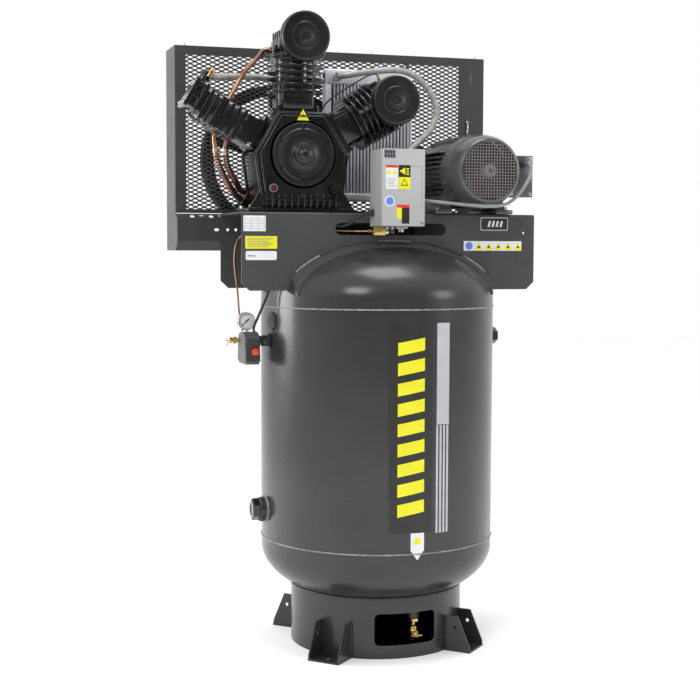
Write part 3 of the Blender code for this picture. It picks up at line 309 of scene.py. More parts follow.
def turned(profile, segments=64, axis="Z", centre=(0, 0, 0), ring=False):
    """A profile of (radius, height) points spun about an axis; a ring's profile is a closed loop."""
    shape = bmesh.new()
    verts = [shape.verts.new((radius, 0, height)) for radius, height in profile]
    edges = [shape.edges.new(pair) for pair in zip(verts, verts[1:])]
    if ring:
        edges.append(shape.edges.new((verts[-1], verts[0])))
    bmesh.ops.spin(shape, geom=verts + edges, axis=(0, 0, 1), cent=(0, 0, 0), angle=2 * pi,
        steps=segments)
    bmesh.ops.remove_doubles(shape, verts=shape.verts, dist=1e-6)
    return outward(transformed(shape, Matrix.Translation(centre) @ TO_AXIS[axis]))


def rod(radius, low, high, axis="Z", centre=(0, 0, 0), segments=32, chamfer=0.0):
    """A round bar with a chamfer at both ends."""
    if not chamfer:
        return turned([(0, low), (radius, low), (radius, high), (0, high)], segments, axis, centre)
    profile = [(0, low), (radius - chamfer, low), (radius, low + chamfer), (radius, high - chamfer),
        (radius - chamfer, high), (0, high)]
    return turned(profile, segments, axis, centre)


def tube(outer, inner, low, high, axis="Z", centre=(0, 0, 0), segments=64):
    return turned([(inner, low), (outer, low), (outer, high), (inner, high)], segments, axis, centre,
        True)


def smooth_path(points, steps=6):
    """A smooth curve through the points (Catmull-Rom)."""
    points = [Vector(point) for point in points]
    padded = [2 * points[0] - points[1], *points, 2 * points[-1] - points[-2]]
    path = []
    for a, b, c, d in zip(padded, padded[1:], padded[2:], padded[3:]):
        for step in range(steps):
            t = step / steps
            path.append(0.5 * (2 * b + (c - a) * t + (2 * a - 5 * b + 4 * c - d) * t ** 2
                + (3 * b - a - 3 * c + d) * t ** 3))
    return [*path, points[-1]]


def evenly(path, spacing):
    """Points a fixed distance apart along a path."""
    placed, left = [path[0]], spacing
    for start, end in zip(path, path[1:]):
        length = (end - start).length
        while left <= length:
            placed.append(start.lerp(end, left / length))
            left += spacing
        left -= length
    return placed


def swept(path, radius, sides=12):
    """A round bar along a path; radius is a number or a function of the distance along it."""
    shape = bmesh.new()
    size = radius if callable(radius) else lambda distance: radius
    heading = (path[1] - path[0]).normalized()
    across = heading.orthogonal().normalized()
    rings, distance = [], 0.0
    for index, point in enumerate(path):
        ahead = path[min(index + 1, len(path) - 1)] - path[max(index - 1, 0)]
        across = heading.rotation_difference(ahead) @ across
        heading = ahead.normalized()
        up = heading.cross(across)
        distance += (point - path[index - 1]).length if index else 0.0
        reach = size(distance)
        rings.append([shape.verts.new(point + reach * (across * cos(2 * pi * k / sides)
            + up * sin(2 * pi * k / sides))) for k in range(sides)])
    for ring, following in zip(rings, rings[1:]):
        for k in range(sides):
            shape.faces.new((ring[k], ring[(k + 1) % sides], following[(k + 1) % sides], following[k]))
    shape.faces.new(rings[0])
    shape.faces.new(rings[-1])
    return outward(shape)


def pipe(points, radius, sides=12, steps=6):
    return swept(smooth_path(points, steps), radius, sides)


def ribbed(points, core, edge, pitch):
    """A pipe with a ridge every pitch, for corrugated or wire-wound tube."""
    path = evenly(smooth_path(points, 12), pitch / 4)
    return swept(path, lambda d: core + (edge - core) * (0.5 + 0.5 * cos(2 * pi * d / pitch)), 14)


def bead(points, radius, seed=0.0):
    """A hand-laid weld bead: a thin pipe whose thickness ripples."""
    path = evenly([Vector(point) for point in points], 0.0025)
    return swept(path, lambda d: radius * (1 + 0.16 * sin(d * 1500)
        + 0.35 * noise.noise((d * 45, seed, 0))), 6)


def ring_points(radius, z, start=0, end=360, steps=180):
    angles = [radians(start + (end - start) * k / steps) for k in range(steps + 1)]
    return [(radius * cos(a), radius * sin(a), z) for a in angles]


def arc(centre, radius, start, end, steps):
    """Points along an arc, in degrees."""
    angles = [radians(start + (end - start) * k / steps) for k in range(steps + 1)]
    return [(centre[0] + radius * cos(a), centre[1] + radius * sin(a)) for a in angles]


def stadium(x, z, steps=12):
    """The outline of a slot with round ends between two x and two z values."""
    radius, middle = (z[1] - z[0]) / 2, (z[0] + z[1]) / 2
    return (arc((x[1] - radius, middle), radius, -90, 90, steps) + arc((x[0] + radius, middle), radius,
        90, 270, steps))


def rounded(x, z, radius, steps=6):
    """The outline of a rectangle with round corners."""
    corners = [(x[1] - radius, z[0] + radius, -90), (x[1] - radius, z[1] - radius, 0),
        (x[0] + radius, z[1] - radius, 90), (x[0] + radius, z[0] + radius, 180)]
    return [point for cx, cz, start in corners for point in arc((cx, cz), radius, start, start + 90,
        steps)]


def soft_box(x, y, z, edge=0.002, segments=2):
    """A block with rounded edges."""
    shape = box(x, y, z)
    bmesh.ops.bevel(shape, geom=list(shape.edges), offset=edge, segments=segments, affect="EDGES",
        profile=0.5)
    return outward(shape)


def hex_bolt(size, height, axis, centre, turn=1):
    """A chamfered hexagon head on a washer; turn is -1 where it looks down its axis."""
    head = [(0, height), (size * 0.82, height), (size, height * 0.82), (size, height * 0.2),
        (0, height * 0.2)]
    washer = [(0, height * 0.2), (size * 1.18, height * 0.2), (size * 1.25, height * 0.1),
        (size * 1.25, -0.001), (0, -0.001)]
    flip = Matrix.Translation(centre) @ TO_AXIS[axis]
    if turn < 0:
        flip = flip @ Matrix.Rotation(pi, 4, "X")
    return together(transformed(turned(head, 6), flip), transformed(turned(washer, 20), flip))


def together(*shapes):
    """Several closed shapes in one mesh."""
    whole = bmesh.new()
    for shape in shapes:
        mesh = bpy.data.meshes.new("piece")
        shape.to_mesh(mesh)
        shape.free()
        whole.from_mesh(mesh)
        bpy.data.meshes.remove(mesh)
    return whole


def boolean(shape, other, operation):
    """The solid result of a Boolean between two shapes."""
    holders = []
    for source in (shape, other):
        mesh = bpy.data.meshes.new("operand")
        source.to_mesh(mesh)
        source.free()
        holder = bpy.data.objects.new("operand", mesh)
        bpy.context.collection.objects.link(holder)
        holders.append(holder)
    change = holders[0].modifiers.new("change", "BOOLEAN")
    change.operation = operation
    change.object = holders[1]
    change.solver = "EXACT"
    graph_now = bpy.context.evaluated_depsgraph_get()
    result = bmesh.new()
    result.from_mesh(holders[0].evaluated_get(graph_now).to_mesh())
    for holder in holders:
        mesh = holder.data
        bpy.data.objects.remove(holder)
        bpy.data.meshes.remove(mesh)
    return result


def cut(shape, *others):
    for other in others:
        shape = boolean(shape, other, "DIFFERENCE")
    return shape


def leaned(shape, bank):
    """A shape drawn with its cylinder upright on the crank axis, leaned over to its bank."""
    turn, along = BANKS[bank]
    return swung(shape, (CRANK_X, along, CRANK_Z), radians(turn))


def bank_point(bank, along_axis, across, y):
    """A place given along a cylinder's axis and square to it."""
    lean = radians(BANKS[bank][0])
    return (CRANK_X + along_axis * sin(lean) + across * cos(lean), y,
        CRANK_Z + along_axis * cos(lean) - across * sin(lean))


# ---------------------------------------------------------------- pieces
def piece(name, shape, look, body="machine", stands_for="", angle=35, edge=0.0):
    """Puts a shape in the scene: paints it, rounds its edges, and makes it ride on a body."""
    mesh = bpy.data.meshes.new(name)
    bmesh.ops.translate(shape, verts=shape.verts, vec=AXIS)
    shape.to_mesh(mesh)
    shape.free()
    made = bpy.data.objects.new(name, mesh)
    bpy.context.collection.objects.link(made)
    slot, material = LOOKS[look]
    mesh.materials.append(material)
    mesh.shade_smooth()
    mesh.set_sharp_from_angle(angle=radians(angle))
    if edge:
        bevel = made.modifiers.new("edges", "BEVEL")
        bevel.width = edge
        bevel.segments = 2
        bevel.limit_method = "ANGLE"
        bevel.angle_limit = radians(40)
        bevel.harden_normals = True
    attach(made, body)
    if stands_for:
        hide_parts(stands_for)
    return made


def repaint_cad():
    """The CAD solids that stay get their finish; the four foot brackets also get a small rounding of their
    edges.
    """
    slots = {entry["node"]: entry["material_slot"] for entry in frame["record"]["subparts"]}
    for name, node in frame["nodes"].items():
        node.data.materials.clear()
        node.data.materials.append(LOOKS[slots[name]][1])
    for name in ("front_left", "front_right", "rear_left", "rear_right"):
        bevel = frame["nodes"][f"foot_bracket_{name}"].modifiers.new("edges", "BEVEL")
        bevel.width = 0.0012
        bevel.segments = 2
        bevel.limit_method = "ANGLE"


# ---------------------------------------------------------------- tank and base
def tank_solid(grow, steps=20, segments=144):
    """The tank as a solid, grown by a little all round."""
    radius, depth = TANK_RADIUS + grow, HEAD_DEPTH + grow
    quarter = [pi / 2 * k / steps for k in range(steps + 1)]
    lower = [(radius * sin(a), TANK_LOW - depth * cos(a)) for a in quarter]
    upper = [(radius * cos(a), TANK_HIGH + depth * sin(a)) for a in quarter]
    lower[0], upper[-1] = (0, lower[0][1]), (0, upper[-1][1])
    return turned(lower + upper, segments)


def coupling(height, along, side, radius):
    """A screwed coupling welded into the tank's side, with a rounded rim."""
    profile = [(radius * 0.6, 0.355), (radius, 0.355), (radius, 0.4), (radius - 0.003, 0.4029),
        (radius * 0.6, 0.4029)]
    shape = turned(profile, 48, "X", (0, along, height), True)
    fillet = turned([(radius - 0.002, 0.372), (radius + 0.007, 0.379), (radius - 0.002, 0.388)], 48, "X",
        (0, along, height), True)
    both = together(shape, fillet)
    return both if side > 0 else mirrored(both)


def curved_panel(start, end, low, high, lift=0.0006, steps=24):
    """A thin sheet stuck on the tank between two angles and two heights."""
    inner, outer = TANK_RADIUS - 0.001, TANK_RADIUS + lift
    sector = arc((0, 0), outer, start, end, steps) + arc((0, 0), inner, end, start, steps)
    return prism(sector, low, high)


def slanted_mark(start, end, low, high, slant):
    """A yellow block on the tank whose upper and lower edges climb by slant."""
    shape = curved_panel(start, end, low, high, 0.0011, 12)
    for vert in shape.verts:
        turn = (degrees(atan2(vert.co.y, vert.co.x)) - start) / (end - start)
        vert.co.z += slant * turn
    return shape


def build_tank():
    """The tank's shell, its bosses and its weld beads, these painted light grey as a highlight."""
    piece("tank_shell", tank_solid(0), "grey_paint", stands_for="tank")
    couplings = [coupling(LEFT_PORT_Z, 0, -1, 0.04), coupling(RIGHT_PORT_Z, 0, 1, 0.031),
        coupling(NIPPLE[2], NIPPLE[1], -1, 0.018)]
    blank = turned([(0, 0.37), (0.029, 0.37), (0.029, 0.3845), (0.026, 0.387), (0, 0.387)], 48, "X")
    inlet = rod(0.0215, 1.3, 1.3378, "Z", (*INLET, 0), 40, 0.001)
    drain = rod(0.0208, 0.1082, 0.2, "Z", (*DRAIN, 0), 40, 0.0015)
    piece("tank_bosses", together(*couplings, swung(blank, (0, 0, 1.062), radians(191), "Z"), inlet,
        drain), "grey_paint")
    seams = [bead(ring_points(TANK_RADIUS + 0.0002, z), 0.0024, z) for z in (0.354, 1.107)]
    skirt_seam = bead(ring_points(SKIRT_RADIUS + 0.002, SKIRT_TOP + 0.0015), 0.003, 3.0)
    boss_seams = []
    for height, radius, side in ((LEFT_PORT_Z, 0.044, -1), (RIGHT_PORT_Z, 0.035, 1)):
        ring = [(side * sqrt(TANK_RADIUS ** 2 - (radius * cos(a)) ** 2), radius * cos(a),
            height + radius * sin(a)) for a in turns(60, 1)]
        boss_seams.append(bead(ring, 0.0028, height))
    # The seams are painted light grey as their highlight.
    piece("weld_seams", together(*seams, *boss_seams), "weld_painted_highlight", angle=60)
    piece("skirt_seam", skirt_seam, "grey_paint", angle=60)


def build_tank_graphics():
    """A black panel with a plain run of slanted blocks, and a pale strip with lines under it."""
    piece("tank_panel_black", curved_panel(-102.7, -81.8, 0.42, 1.065), "decal_black")
    blocks = []
    count, low, high = 9, 0.47, 1.03
    pitch = (high - low) / count
    for k in range(count):
        z = low + pitch * k
        blocks.append(slanted_mark(-98.7, -85.8, z, z + pitch * 0.62, 0.016))
    piece("tank_panel_blocks", together(*blocks), "decal_yellow")
    piece("tank_strip", curved_panel(-79.4, -72.5, 0.753, 1.066), "decal_silver")
    lines = [curved_panel(-79.6 + 1.9 * k, -78.5 + 1.9 * k, 0.416, 0.751, steps=4) for k in range(4)]
    piece("tank_strip_lines", together(*lines), "decal_silver")
    tag = curved_panel(-92.2, -85.6, 0.366, 0.42, steps=10)
    point = curved_panel(-92.2, -85.6, 0.337, 0.366, steps=10)
    for vert in point.verts:
        if vert.co.z < 0.35:
            turn = radians(-88.9) + (atan2(vert.co.y, vert.co.x) - radians(-88.9)) * 0.08
            reach = hypot(vert.co.x, vert.co.y)
            vert.co.x, vert.co.y = reach * cos(turn), reach * sin(turn)
    piece("tank_tag", together(tag, point), "decal_white")
    piece("tank_tag_mark", curved_panel(-90.6, -87.2, 0.385, 0.404, 0.0011, 6), "decal_yellow")


def build_base():
    """The round skirt with its window, a black lining and floor disc inside it as painted shade, and the
    weld beads of the feet.
    """
    skirt = tube(SKIRT_RADIUS, SKIRT_RADIUS - SHEET, 0, SKIRT_TOP, segments=144)
    window = prism(rounded((-0.092, 0.112), (0.043, 0.144), 0.016), -0.32, -0.2, "Y")
    piece("skirt", cut(skirt, window), "grey_paint", stands_for="base_skirt", edge=0.0008)
    # Painted shade: a black lining on the skirt's inner wall and a black disc on the floor inside, so the
    # inside seen through the window is dark.
    painted_shade_lining = tube(SKIRT_RADIUS - SHEET - 0.0004, SKIRT_RADIUS - SHEET - 0.0012, 0.002, SKIRT_TOP - 0.004,
        segments=144)
    opening = box((-0.11, 0.13), (-0.32, -0.2), (-0.1, 0.3))
    sheet = rod(SKIRT_RADIUS - SHEET - 0.002, 0.0008, 0.0016, segments=96)
    piece("skirt_painted_shade", together(cut(painted_shade_lining, opening), sheet), "black_gloss")
    beads = []
    for degree in (45, 135, 225, 315):
        around = Matrix.Rotation(radians(degree), 4, "Z")
        for side in (-1, 1):
            line = [around @ Vector((0.2835, side * 0.0555, 0.008 + 0.104 * k / 20)) for k in range(21)]
            beads.append(bead(line, 0.0026, degree + side))
    piece("foot_welds", together(*beads), "grey_paint", angle=60)


def channel_outline(half_depth, top, low, radius):
    """A folded channel's section, with its bends."""
    bend = arc((half_depth - radius, top - radius), radius, 0, 90, 5)
    return [(-half_depth, low), (half_depth, low), *bend, *[(-y, z) for y, z in reversed(bend)]]


def build_platform():
    """The bent channel, its saddle straps on the top head, the welds along them, and black strips as
    painted shade in the gaps between the welds.
    """
    length, depth = PLATFORM_HALF_LENGTH, PLATFORM_HALF_DEPTH
    shape = prism(channel_outline(depth, PLATFORM_TOP, FLANGE_LOW, 0.006), -length, length, "X")
    inside = prism(channel_outline(depth - SHEET, PLATFORM_TOP - SHEET, 1.0, 0.002), -0.6, 0.6, "X")
    corners = [prism([(side * (length - 0.026), 1.1), (side * 0.6, 1.1), (side * 0.6, FLANGE_LOW + 0.12),
        (side * length, FLANGE_LOW + 0.024), (side * (length - 0.026), FLANGE_LOW)], -0.3, 0.3, "Y")
        for side in (-1, 1)]
    slot = prism(stadium((-0.19, 0.182), (1.335, 1.373)), -0.3, 0.3, "Y")
    holes = [rod(0.005, 0.1, 0.2, "Y", (x, 0, z)) for x, z in ((-0.4678, 1.3525), (-0.4405, 1.3525))]
    holes.append(rod(0.004, -0.2, -0.1, "Y", (0.455, 0, 1.345)))
    shape = cut(shape, inside, together(*corners, slot), together(*holes))
    for side in (-1, 1):
        y = sorted((side * (depth - SHEET), side * (depth + 0.05)))
        block = box((-0.33, 0.33), y, (1.146, 1.36))
        strap = boolean(block, tank_solid(0.006, 16, 120), "INTERSECT")
        shape = boolean(shape, strap, "UNION")
    shape = cut(shape, tank_solid(0.0005, 20, 144), rod(0.018, 1.38, 1.42, "Z", (*INLET, 0), 40))
    piece("platform", shape, "platform_paint", stands_for="top_platform", edge=0.001)
    welds, gap_shades = [], []
    for side in (-1, 1):
        y = side * (depth + 0.002)
        welds += [bead(saddle_line(*ends, y), 0.0036, ends[0] + side)
            for ends in ((-0.318, -0.24), (-0.05, 0.06), (0.24, 0.318))]
        # Painted shade: thin black rods in the unwelded gaps between strap and flange.
        gap_shades += [swept(saddle_line(*ends, side * (depth + 0.0004)), 0.0016, 6)
            for ends in ((-0.24, -0.05), (0.06, 0.24))]
    # The saddle welds are painted light grey as their highlight.
    piece("saddle_welds", together(*welds), "weld_painted_highlight", angle=60)
    piece("saddle_gap_shade", together(*gap_shades), "black_plastic", angle=60)


def saddle_line(low, high, y):
    """Points along the top of a saddle strap, where it meets a flange."""
    line = []
    for k in range(31):
        x = low + (high - low) * k / 30
        rise = sqrt(max(0.0, 1 - (hypot(x, y) / (TANK_RADIUS + 0.006)) ** 2)) * (HEAD_DEPTH + 0.006)
        line.append(Vector((x, y, TANK_HIGH + rise + 0.001)))
    return line


def flat_label(name, x, z, look, y=-PLATFORM_HALF_DEPTH, lift=0.0006, radius=0.001, body="machine"):
    """A thin sticker standing on a face that looks forward."""
    return piece(name, prism(rounded(x, z, radius, 3), y - lift, y + 0.0003, "Y"), look, body)


def triangle(x, z, size):
    """The outline of a warning sign."""
    return [(x - size, z - size * 0.85), (x + size, z - size * 0.85), (x, z + size * 0.9)]


def ruled_lines(x, z, rows, y):
    """A few thin rules that stand for print, without any lettering."""
    pitch = (z[1] - z[0]) / rows
    width = x[1] - x[0]
    return together(*[box((x[0], x[0] + width * (0.97 - 0.22 * ((k * 7) % 3) / 2)), (y - PRINT, y),
        (z[1] - pitch * (k + 0.7), z[1] - pitch * (k + 0.35))) for k in range(rows)])


def build_platform_labels():
    """The stickers and the badge on the platform's front."""
    y = -PLATFORM_HALF_DEPTH
    flat_label("label_plate_left", (-0.486, -0.415), (1.345, 1.393), "decal_white")
    grid = [box((-0.482, -0.419), (y - PRINT, y), (z, z + 0.0007))
        for z in (1.352, 1.36, 1.368, 1.376, 1.384)]
    grid += [box((x, x + 0.0008), (y - PRINT, y), (1.349, 1.389))
        for x in (-0.482, -0.462, -0.44, -0.419)]
    piece("label_plate_grid", together(*grid), "decal_grey")
    flat_label("label_yellow_left", (-0.48, -0.379), (1.291, 1.33), "decal_yellow")
    piece("label_yellow_rules", ruled_lines((-0.474, -0.386), (1.296, 1.326), 6, y), "decal_grey")
    flat_label("label_white_left", (-0.479, -0.38), (1.256, 1.284), "decal_white", radius=0.005)
    piece("label_white_rules", ruled_lines((-0.472, -0.448), (1.264, 1.274), 1, y), "decal_grey")
    badge = prism(rounded((0.301, 0.398), (1.352, 1.395), 0.005), y - 0.0014, y, "Y")
    piece("badge_rim", badge, "decal_silver")
    flat_label("badge_face", (0.304, 0.395), (1.355, 1.392), "decal_black", y - 0.0012, 0.0006, 0.004)
    bars = [prism([(0.326 + 0.014 * k, 1.364), (0.333 + 0.014 * k, 1.364), (0.338 + 0.014 * k, 1.383),
        (0.331 + 0.014 * k, 1.383)], y - 0.0022, y, "Y") for k in range(4)]
    piece("badge_bars", together(*bars), "decal_white")
    flat_label("strip_white", (0.244, 0.447), (1.287, 1.318), "decal_white")
    piece("strip_disc", rod(0.0125, y - PRINT, y, "Y", (0.2625, 0, 1.3025)), "decal_blue")
    signs = [prism(triangle(0.2965 + 0.0345 * k, 1.3015, 0.0145), y - PRINT, y, "Y") for k in range(5)]
    piece("strip_signs", together(*signs), "decal_yellow")
    marks = [prism(triangle(0.2965 + 0.0345 * k, 1.3005, 0.0055), y - OVERPRINT, y, "Y")
        for k in range(5)]
    piece("strip_marks", together(*marks), "decal_black")


# ---------------------------------------------------------------- fittings on the tank
def hex_plug(name, height, corner, bore, side, node):
    """A hexagon plug with a dished face, screwed into a coupling."""
    head = [(0, 0.4034), (corner, 0.4034), (corner, 0.4215), (corner * 0.86, 0.4262),
        (corner * 0.55, 0.4262), (corner * 0.5, 0.4235), (0, 0.4235)]
    plug = together(turned(head, 6, "X", (0, 0, height)), rod(bore, 0.38, 0.405, "X", (0, 0, height)))
    if side < 0:
        plug = mirrored(plug)
    piece(name, plug, "black_gloss", stands_for=node, edge=0.0012)


def build_plugs():
    hex_plug("plug_left", LEFT_PORT_Z, 0.0368, 0.0236, -1, "port_plug_left")
    hex_plug("plug_right", RIGHT_PORT_Z, 0.0278, 0.0186, 1, "port_plug_right")


def build_drain():
    """A brass drain valve screwed up into the bottom outlet: hexagon, round body, spout and wing handle."""
    x, y = DRAIN
    neck = [(0, 0.137), (0.0092, 0.137), (0.0092, 0.098), (0.008, 0.096), (0.008, 0.086), (0.011, 0.084),
        (0.0155, 0.078), (0.0164, 0.072), (0.0164, 0.042), (0.015, 0.038), (0.011, 0.0362), (0, 0.0362)]
    nut = turned([(0, 0.1068), (0.0185, 0.1068), (0.019, 0.105), (0.019, 0.098), (0.0185, 0.0965),
        (0, 0.0965)], 6, "Z", (x, y, 0))
    spout = turned([(0, y), (0.0128, y), (0.0128, -0.214), (0.0118, -0.215), (0.0128, -0.216),
        (0.0128, -0.2262), (0.0112, -0.2279), (0, -0.2279)], 40, "Y", (x, 0, VALVE_Z))
    piece("drain_body", together(turned(neck, 40, "Z", (x, y, 0)), nut, spout), "brass",
        stands_for="drain_valve_body", edge=0.0005)
    hub = turned([(0, -0.2286), (0.0088, -0.2286), (0.0088, -0.236), (0.006, -0.2385), (0, -0.2385)], 32,
        "Y", (x, 0, VALVE_Z))
    wings = soft_box(about(x, 0.0188), (-0.2438, -0.2345), about(VALVE_Z, 0.0034), 0.0022, 3)
    piece("drain_handle_wings", together(hub, wings), "brass", "drain_handle", "drain_valve_handle")


def build_switch():
    """The pressure switch on its nipple, with its grey cover and red knob."""
    (x0, x1), (y0, y1), (z0, z1) = SWITCH_X, SWITCH_Y, SWITCH_Z
    nipple = [rod(0.0081, -0.4158, -0.372, "X", NIPPLE), turned([(0, -0.4138), (0.0155, -0.4138),
        (0.0165, -0.412), (0.0165, -0.405), (0.0155, -0.4038), (0, -0.4038)], 6, "X", NIPPLE)]
    piece("nipple", together(*nipple), "black_gloss", stands_for="tank_nipple", edge=0.0004)
    crown = arc(((y0 + y1) / 2, z1 - 0.022), 0.0465, 0, 180, 20)
    crown = [(y, z1 - 0.022 + (z - z1 + 0.022) * 0.46) for y, z in crown]
    side = [(y0, z0 + 0.008), (y1, z0 + 0.008), *crown]
    cover = prism(side, *SWITCH_X, "X")
    base = soft_box((x0 + 0.003, x1 - 0.003), (y0 + 0.004, y1 - 0.004), (z0, z0 + 0.02), 0.0015)
    piece("switch_cover", together(cover, base), "switch_grey", stands_for="pressure_switch", edge=0.0022)
    panel = prism(rounded((x0 + 0.004, x1 - 0.003), (0.936, 1.006), 0.003), y0 - 0.0003, y0 + 0.003, "Y")
    piece("switch_panel", panel, "black_plastic", edge=0.0003)
    knob_centre = (-0.434, 0, 0.967)
    base_knob = rod(0.0112, y0 - 0.0074, y0 - 0.0004, "Y", knob_centre, 40, 0.0012)
    grip = soft_box((-0.444, -0.424), (-0.1038, -0.0965), (0.957, 0.977), 0.0028, 3)
    piece("switch_knob_grip", together(base_knob, grip), "red_plastic", "knob", "switch_knob")


def build_gauge():
    """The gauge on the switch: bezel, dial, tick marks and pointer."""
    gx, gy, gz = GAUGE
    case = [(0, gy - 0.0022), (0.0252, gy - 0.0022), (0.0252, gy - 0.0098), (0.0262, gy - 0.0108),
        (0.0278, gy - 0.0108), (0.0284, gy - 0.0095), (0.0284, gy + 0.01), (0.0262, gy + 0.0155),
        (0, gy + 0.0158)]
    neck = turned([(0, 1.0284), (0.0075, 1.0284), (0.0075, 1.034), (0, 1.034)], 6, "Z", (gx, gy, 0))
    piece("gauge_bezel", together(turned(case, 64, "Y", (gx, 0, gz)), neck), "steel",
        stands_for="gauge_case")
    piece("gauge_dial", rod(0.025, gy - 0.0028, gy - 0.0022, "Y", (gx, 0, gz), 48), "decal_white")
    ticks = []
    for k in range(31):
        half, inner = (0.0007, 0.0165) if k % 5 == 0 else (0.0004, 0.0185)
        tick = box((-half, half), (gy - 0.0031, gy - 0.0026), (inner, 0.0215))
        ticks.append(swung(tick, (gx, 0, gz), radians(GAUGE_ZERO + GAUGE_SWEEP * k / 30)))
    piece("gauge_ticks", together(*ticks), "decal_black")
    pointer = prism([(-0.0014, -0.012), (0.0014, -0.012), (0.0005, 0.021), (-0.0005, 0.021)], gy - 0.0058,
        gy - 0.0046, "Y")
    pin = rod(0.0028, gy - 0.0064, gy - 0.004, "Y", (gx, 0, gz), 24, 0.0004)
    piece("gauge_pointer", together(swung(pointer, (gx, 0, gz), radians(GAUGE_ZERO)), pin), "decal_black",
        "needle", "gauge_needle")


def build_relief_valve():
    """The brass safety valve that screws into the switch, with its pull ring."""
    x = SWITCH_X[0] - 0.0006
    line = (0, 0.006, 0.998)
    valve = [(0, x), (0.0062, x), (0.0062, x - 0.0065), (0.0112, x - 0.007), (0.0112, x - 0.01),
        (0.0104, x - 0.0105), (0.0112, x - 0.0115), (0.0112, x - 0.0168), (0.008, x - 0.0176),
        (0.008, x - 0.022), (0.0094, x - 0.0226), (0.0094, x - 0.0316), (0.0058, x - 0.0337),
        (0, x - 0.0337)]
    piece("relief_valve", turned(valve, 40, "X", line), "brass", stands_for="safety_valve")
    root = x - 0.034
    stem = rod(0.0021, root - 0.006, root - 0.0003, "X", line, 20)
    loop = [Vector((root - 0.0045, line[1] + 0.0084 * sin(a), line[2] - 0.0084 + 0.0084 * cos(a)))
        for a in turns(48)]
    piece("relief_pull", together(stem, swept(loop, 0.0011, 8)), "steel", "relief_ring",
        "safety_valve_ring")


# ---------------------------------------------------------------- pump
def pump_outline(inset):
    """The case's outline seen along the crank, drawn in by an inset."""
    seat = FACE - inset
    half, foot = seat / sqrt(3), 0.158 - inset
    return [(-half, seat), (-2 * half, 0), (-0.131 + inset, -foot), (0.131 - inset, -foot), (2 * half, 0),
        (half, seat)]


def moved(outline):
    """An outline drawn round the crank, put at its place."""
    return [(CRANK_X + x, CRANK_Z + z) for x, z in outline]


def build_crankcase():
    """The case the cylinders stand on, with its foot, ribs and front rail."""
    def hollowed(shape):
        """The shape with the chamber, the cover's hole and the three bores taken out of it."""
        chamber = prism(moved(pump_outline(0.01)), CASE_FRONT + 0.01, CASE_REAR - 0.01, "Y")
        hole = rod(0.0778, CASE_FRONT - 0.05, CASE_FRONT + 0.04, "Y", CRANK, 64)
        ports = [leaned(rod(BORES[bank] + 0.0068, 0.08, 0.2, segments=64), bank) for bank in BANKS]
        return cut(shape, chamber, hole, *ports)

    body = hollowed(prism(moved(pump_outline(0.004)), CASE_FRONT + 0.005, CASE_REAR, "Y"))
    lip = hollowed(prism(moved(pump_outline(0.0)), CASE_FRONT + 0.01, CASE_FRONT + 0.03, "Y"))
    rear_lip = hollowed(prism(moved(pump_outline(0.0)), CASE_REAR - 0.016, CASE_REAR, "Y"))
    face = hollowed(prism(moved(pump_outline(0.014)), CASE_FRONT, CASE_FRONT + 0.02, "Y"))
    ring = tube(0.108, 0.0778, CASE_FRONT, CASE_FRONT + 0.01, "Y", CRANK, 96)
    foot = box(about(CRANK_X, 0.173), (CASE_FRONT + 0.012, CASE_REAR - 0.006),
        (PLATFORM_TOP + 0.0005, PLATFORM_TOP + 0.014))
    pedestal = hollowed(box(about(CRANK_X, 0.12), (CASE_FRONT + 0.02, CASE_REAR - 0.012),
        (PLATFORM_TOP + 0.008, CRANK_Z - 0.15)))
    rib = [(CASE_FRONT - 0.01, CRANK_Z - 0.13), (CASE_FRONT - 0.01, PLATFORM_TOP + 0.02),
        (CASE_FRONT - 0.004, PLATFORM_TOP + 0.012), (CASE_FRONT + 0.008, PLATFORM_TOP + 0.012),
        (CASE_FRONT + 0.008, CRANK_Z - 0.12), (CASE_FRONT - 0.004, CRANK_Z - 0.124)]
    ribs = [prism(rib, CRANK_X - 0.103 + 0.0206 * k, CRANK_X - 0.0975 + 0.0206 * k, "X")
        for k in range(11)]
    webs = []
    for side in (-1, 1):
        web = [(CRANK_X + side * 0.12, CRANK_Z - 0.15), (CRANK_X + side * 0.134, CRANK_Z - 0.11),
            (CRANK_X + side * 0.171, PLATFORM_TOP + 0.012), (CRANK_X + side * 0.12, PLATFORM_TOP + 0.012)]
        webs += [prism(web, y, y + 0.009, "Y") for y in (CASE_FRONT + 0.014, CASE_REAR - 0.02)]
    neck = rod(0.049, CASE_REAR - 0.006, 0.0955, "Y", CRANK, 64, 0.003)
    rail = prism(moved(pump_outline(0.012)), CASE_FRONT - 0.0035, CASE_FRONT + 0.002, "Y")
    rail = cut(rail, prism(moved(pump_outline(0.017)), CASE_FRONT - 0.02, CASE_FRONT + 0.02, "Y"),
        box((-1, 1), (-1, 1), (1, CRANK_Z - 0.12)))
    shape = together(body, lip, rear_lip, face, ring, foot, pedestal, *ribs, *webs, neck, rail)
    piece("pump_case", shape, "black_gloss", stands_for="crankcase", edge=0.0028)


def build_case_details():
    """The crankcase's foot bolts and its warning sign."""
    bolts = [hex_bolt(0.0085, 0.009, "Z", (CRANK_X + x, y, PLATFORM_TOP + 0.0142))
        for x in (-0.156, 0.156) for y in (CASE_FRONT + 0.034, CASE_REAR - 0.034)]
    piece("pump_foot_bolts", together(*bolts), "steel")
    y = CASE_FRONT
    flat = prism(triangle(CRANK_X, 1.7065, 0.0195), y - 0.0008, y + 0.0004, "Y")
    piece("pump_sign", flat, "decal_yellow")
    piece("pump_sign_mark", prism(triangle(CRANK_X, 1.7055, 0.0075), y - OVERPRINT, y, "Y"), "decal_grey")


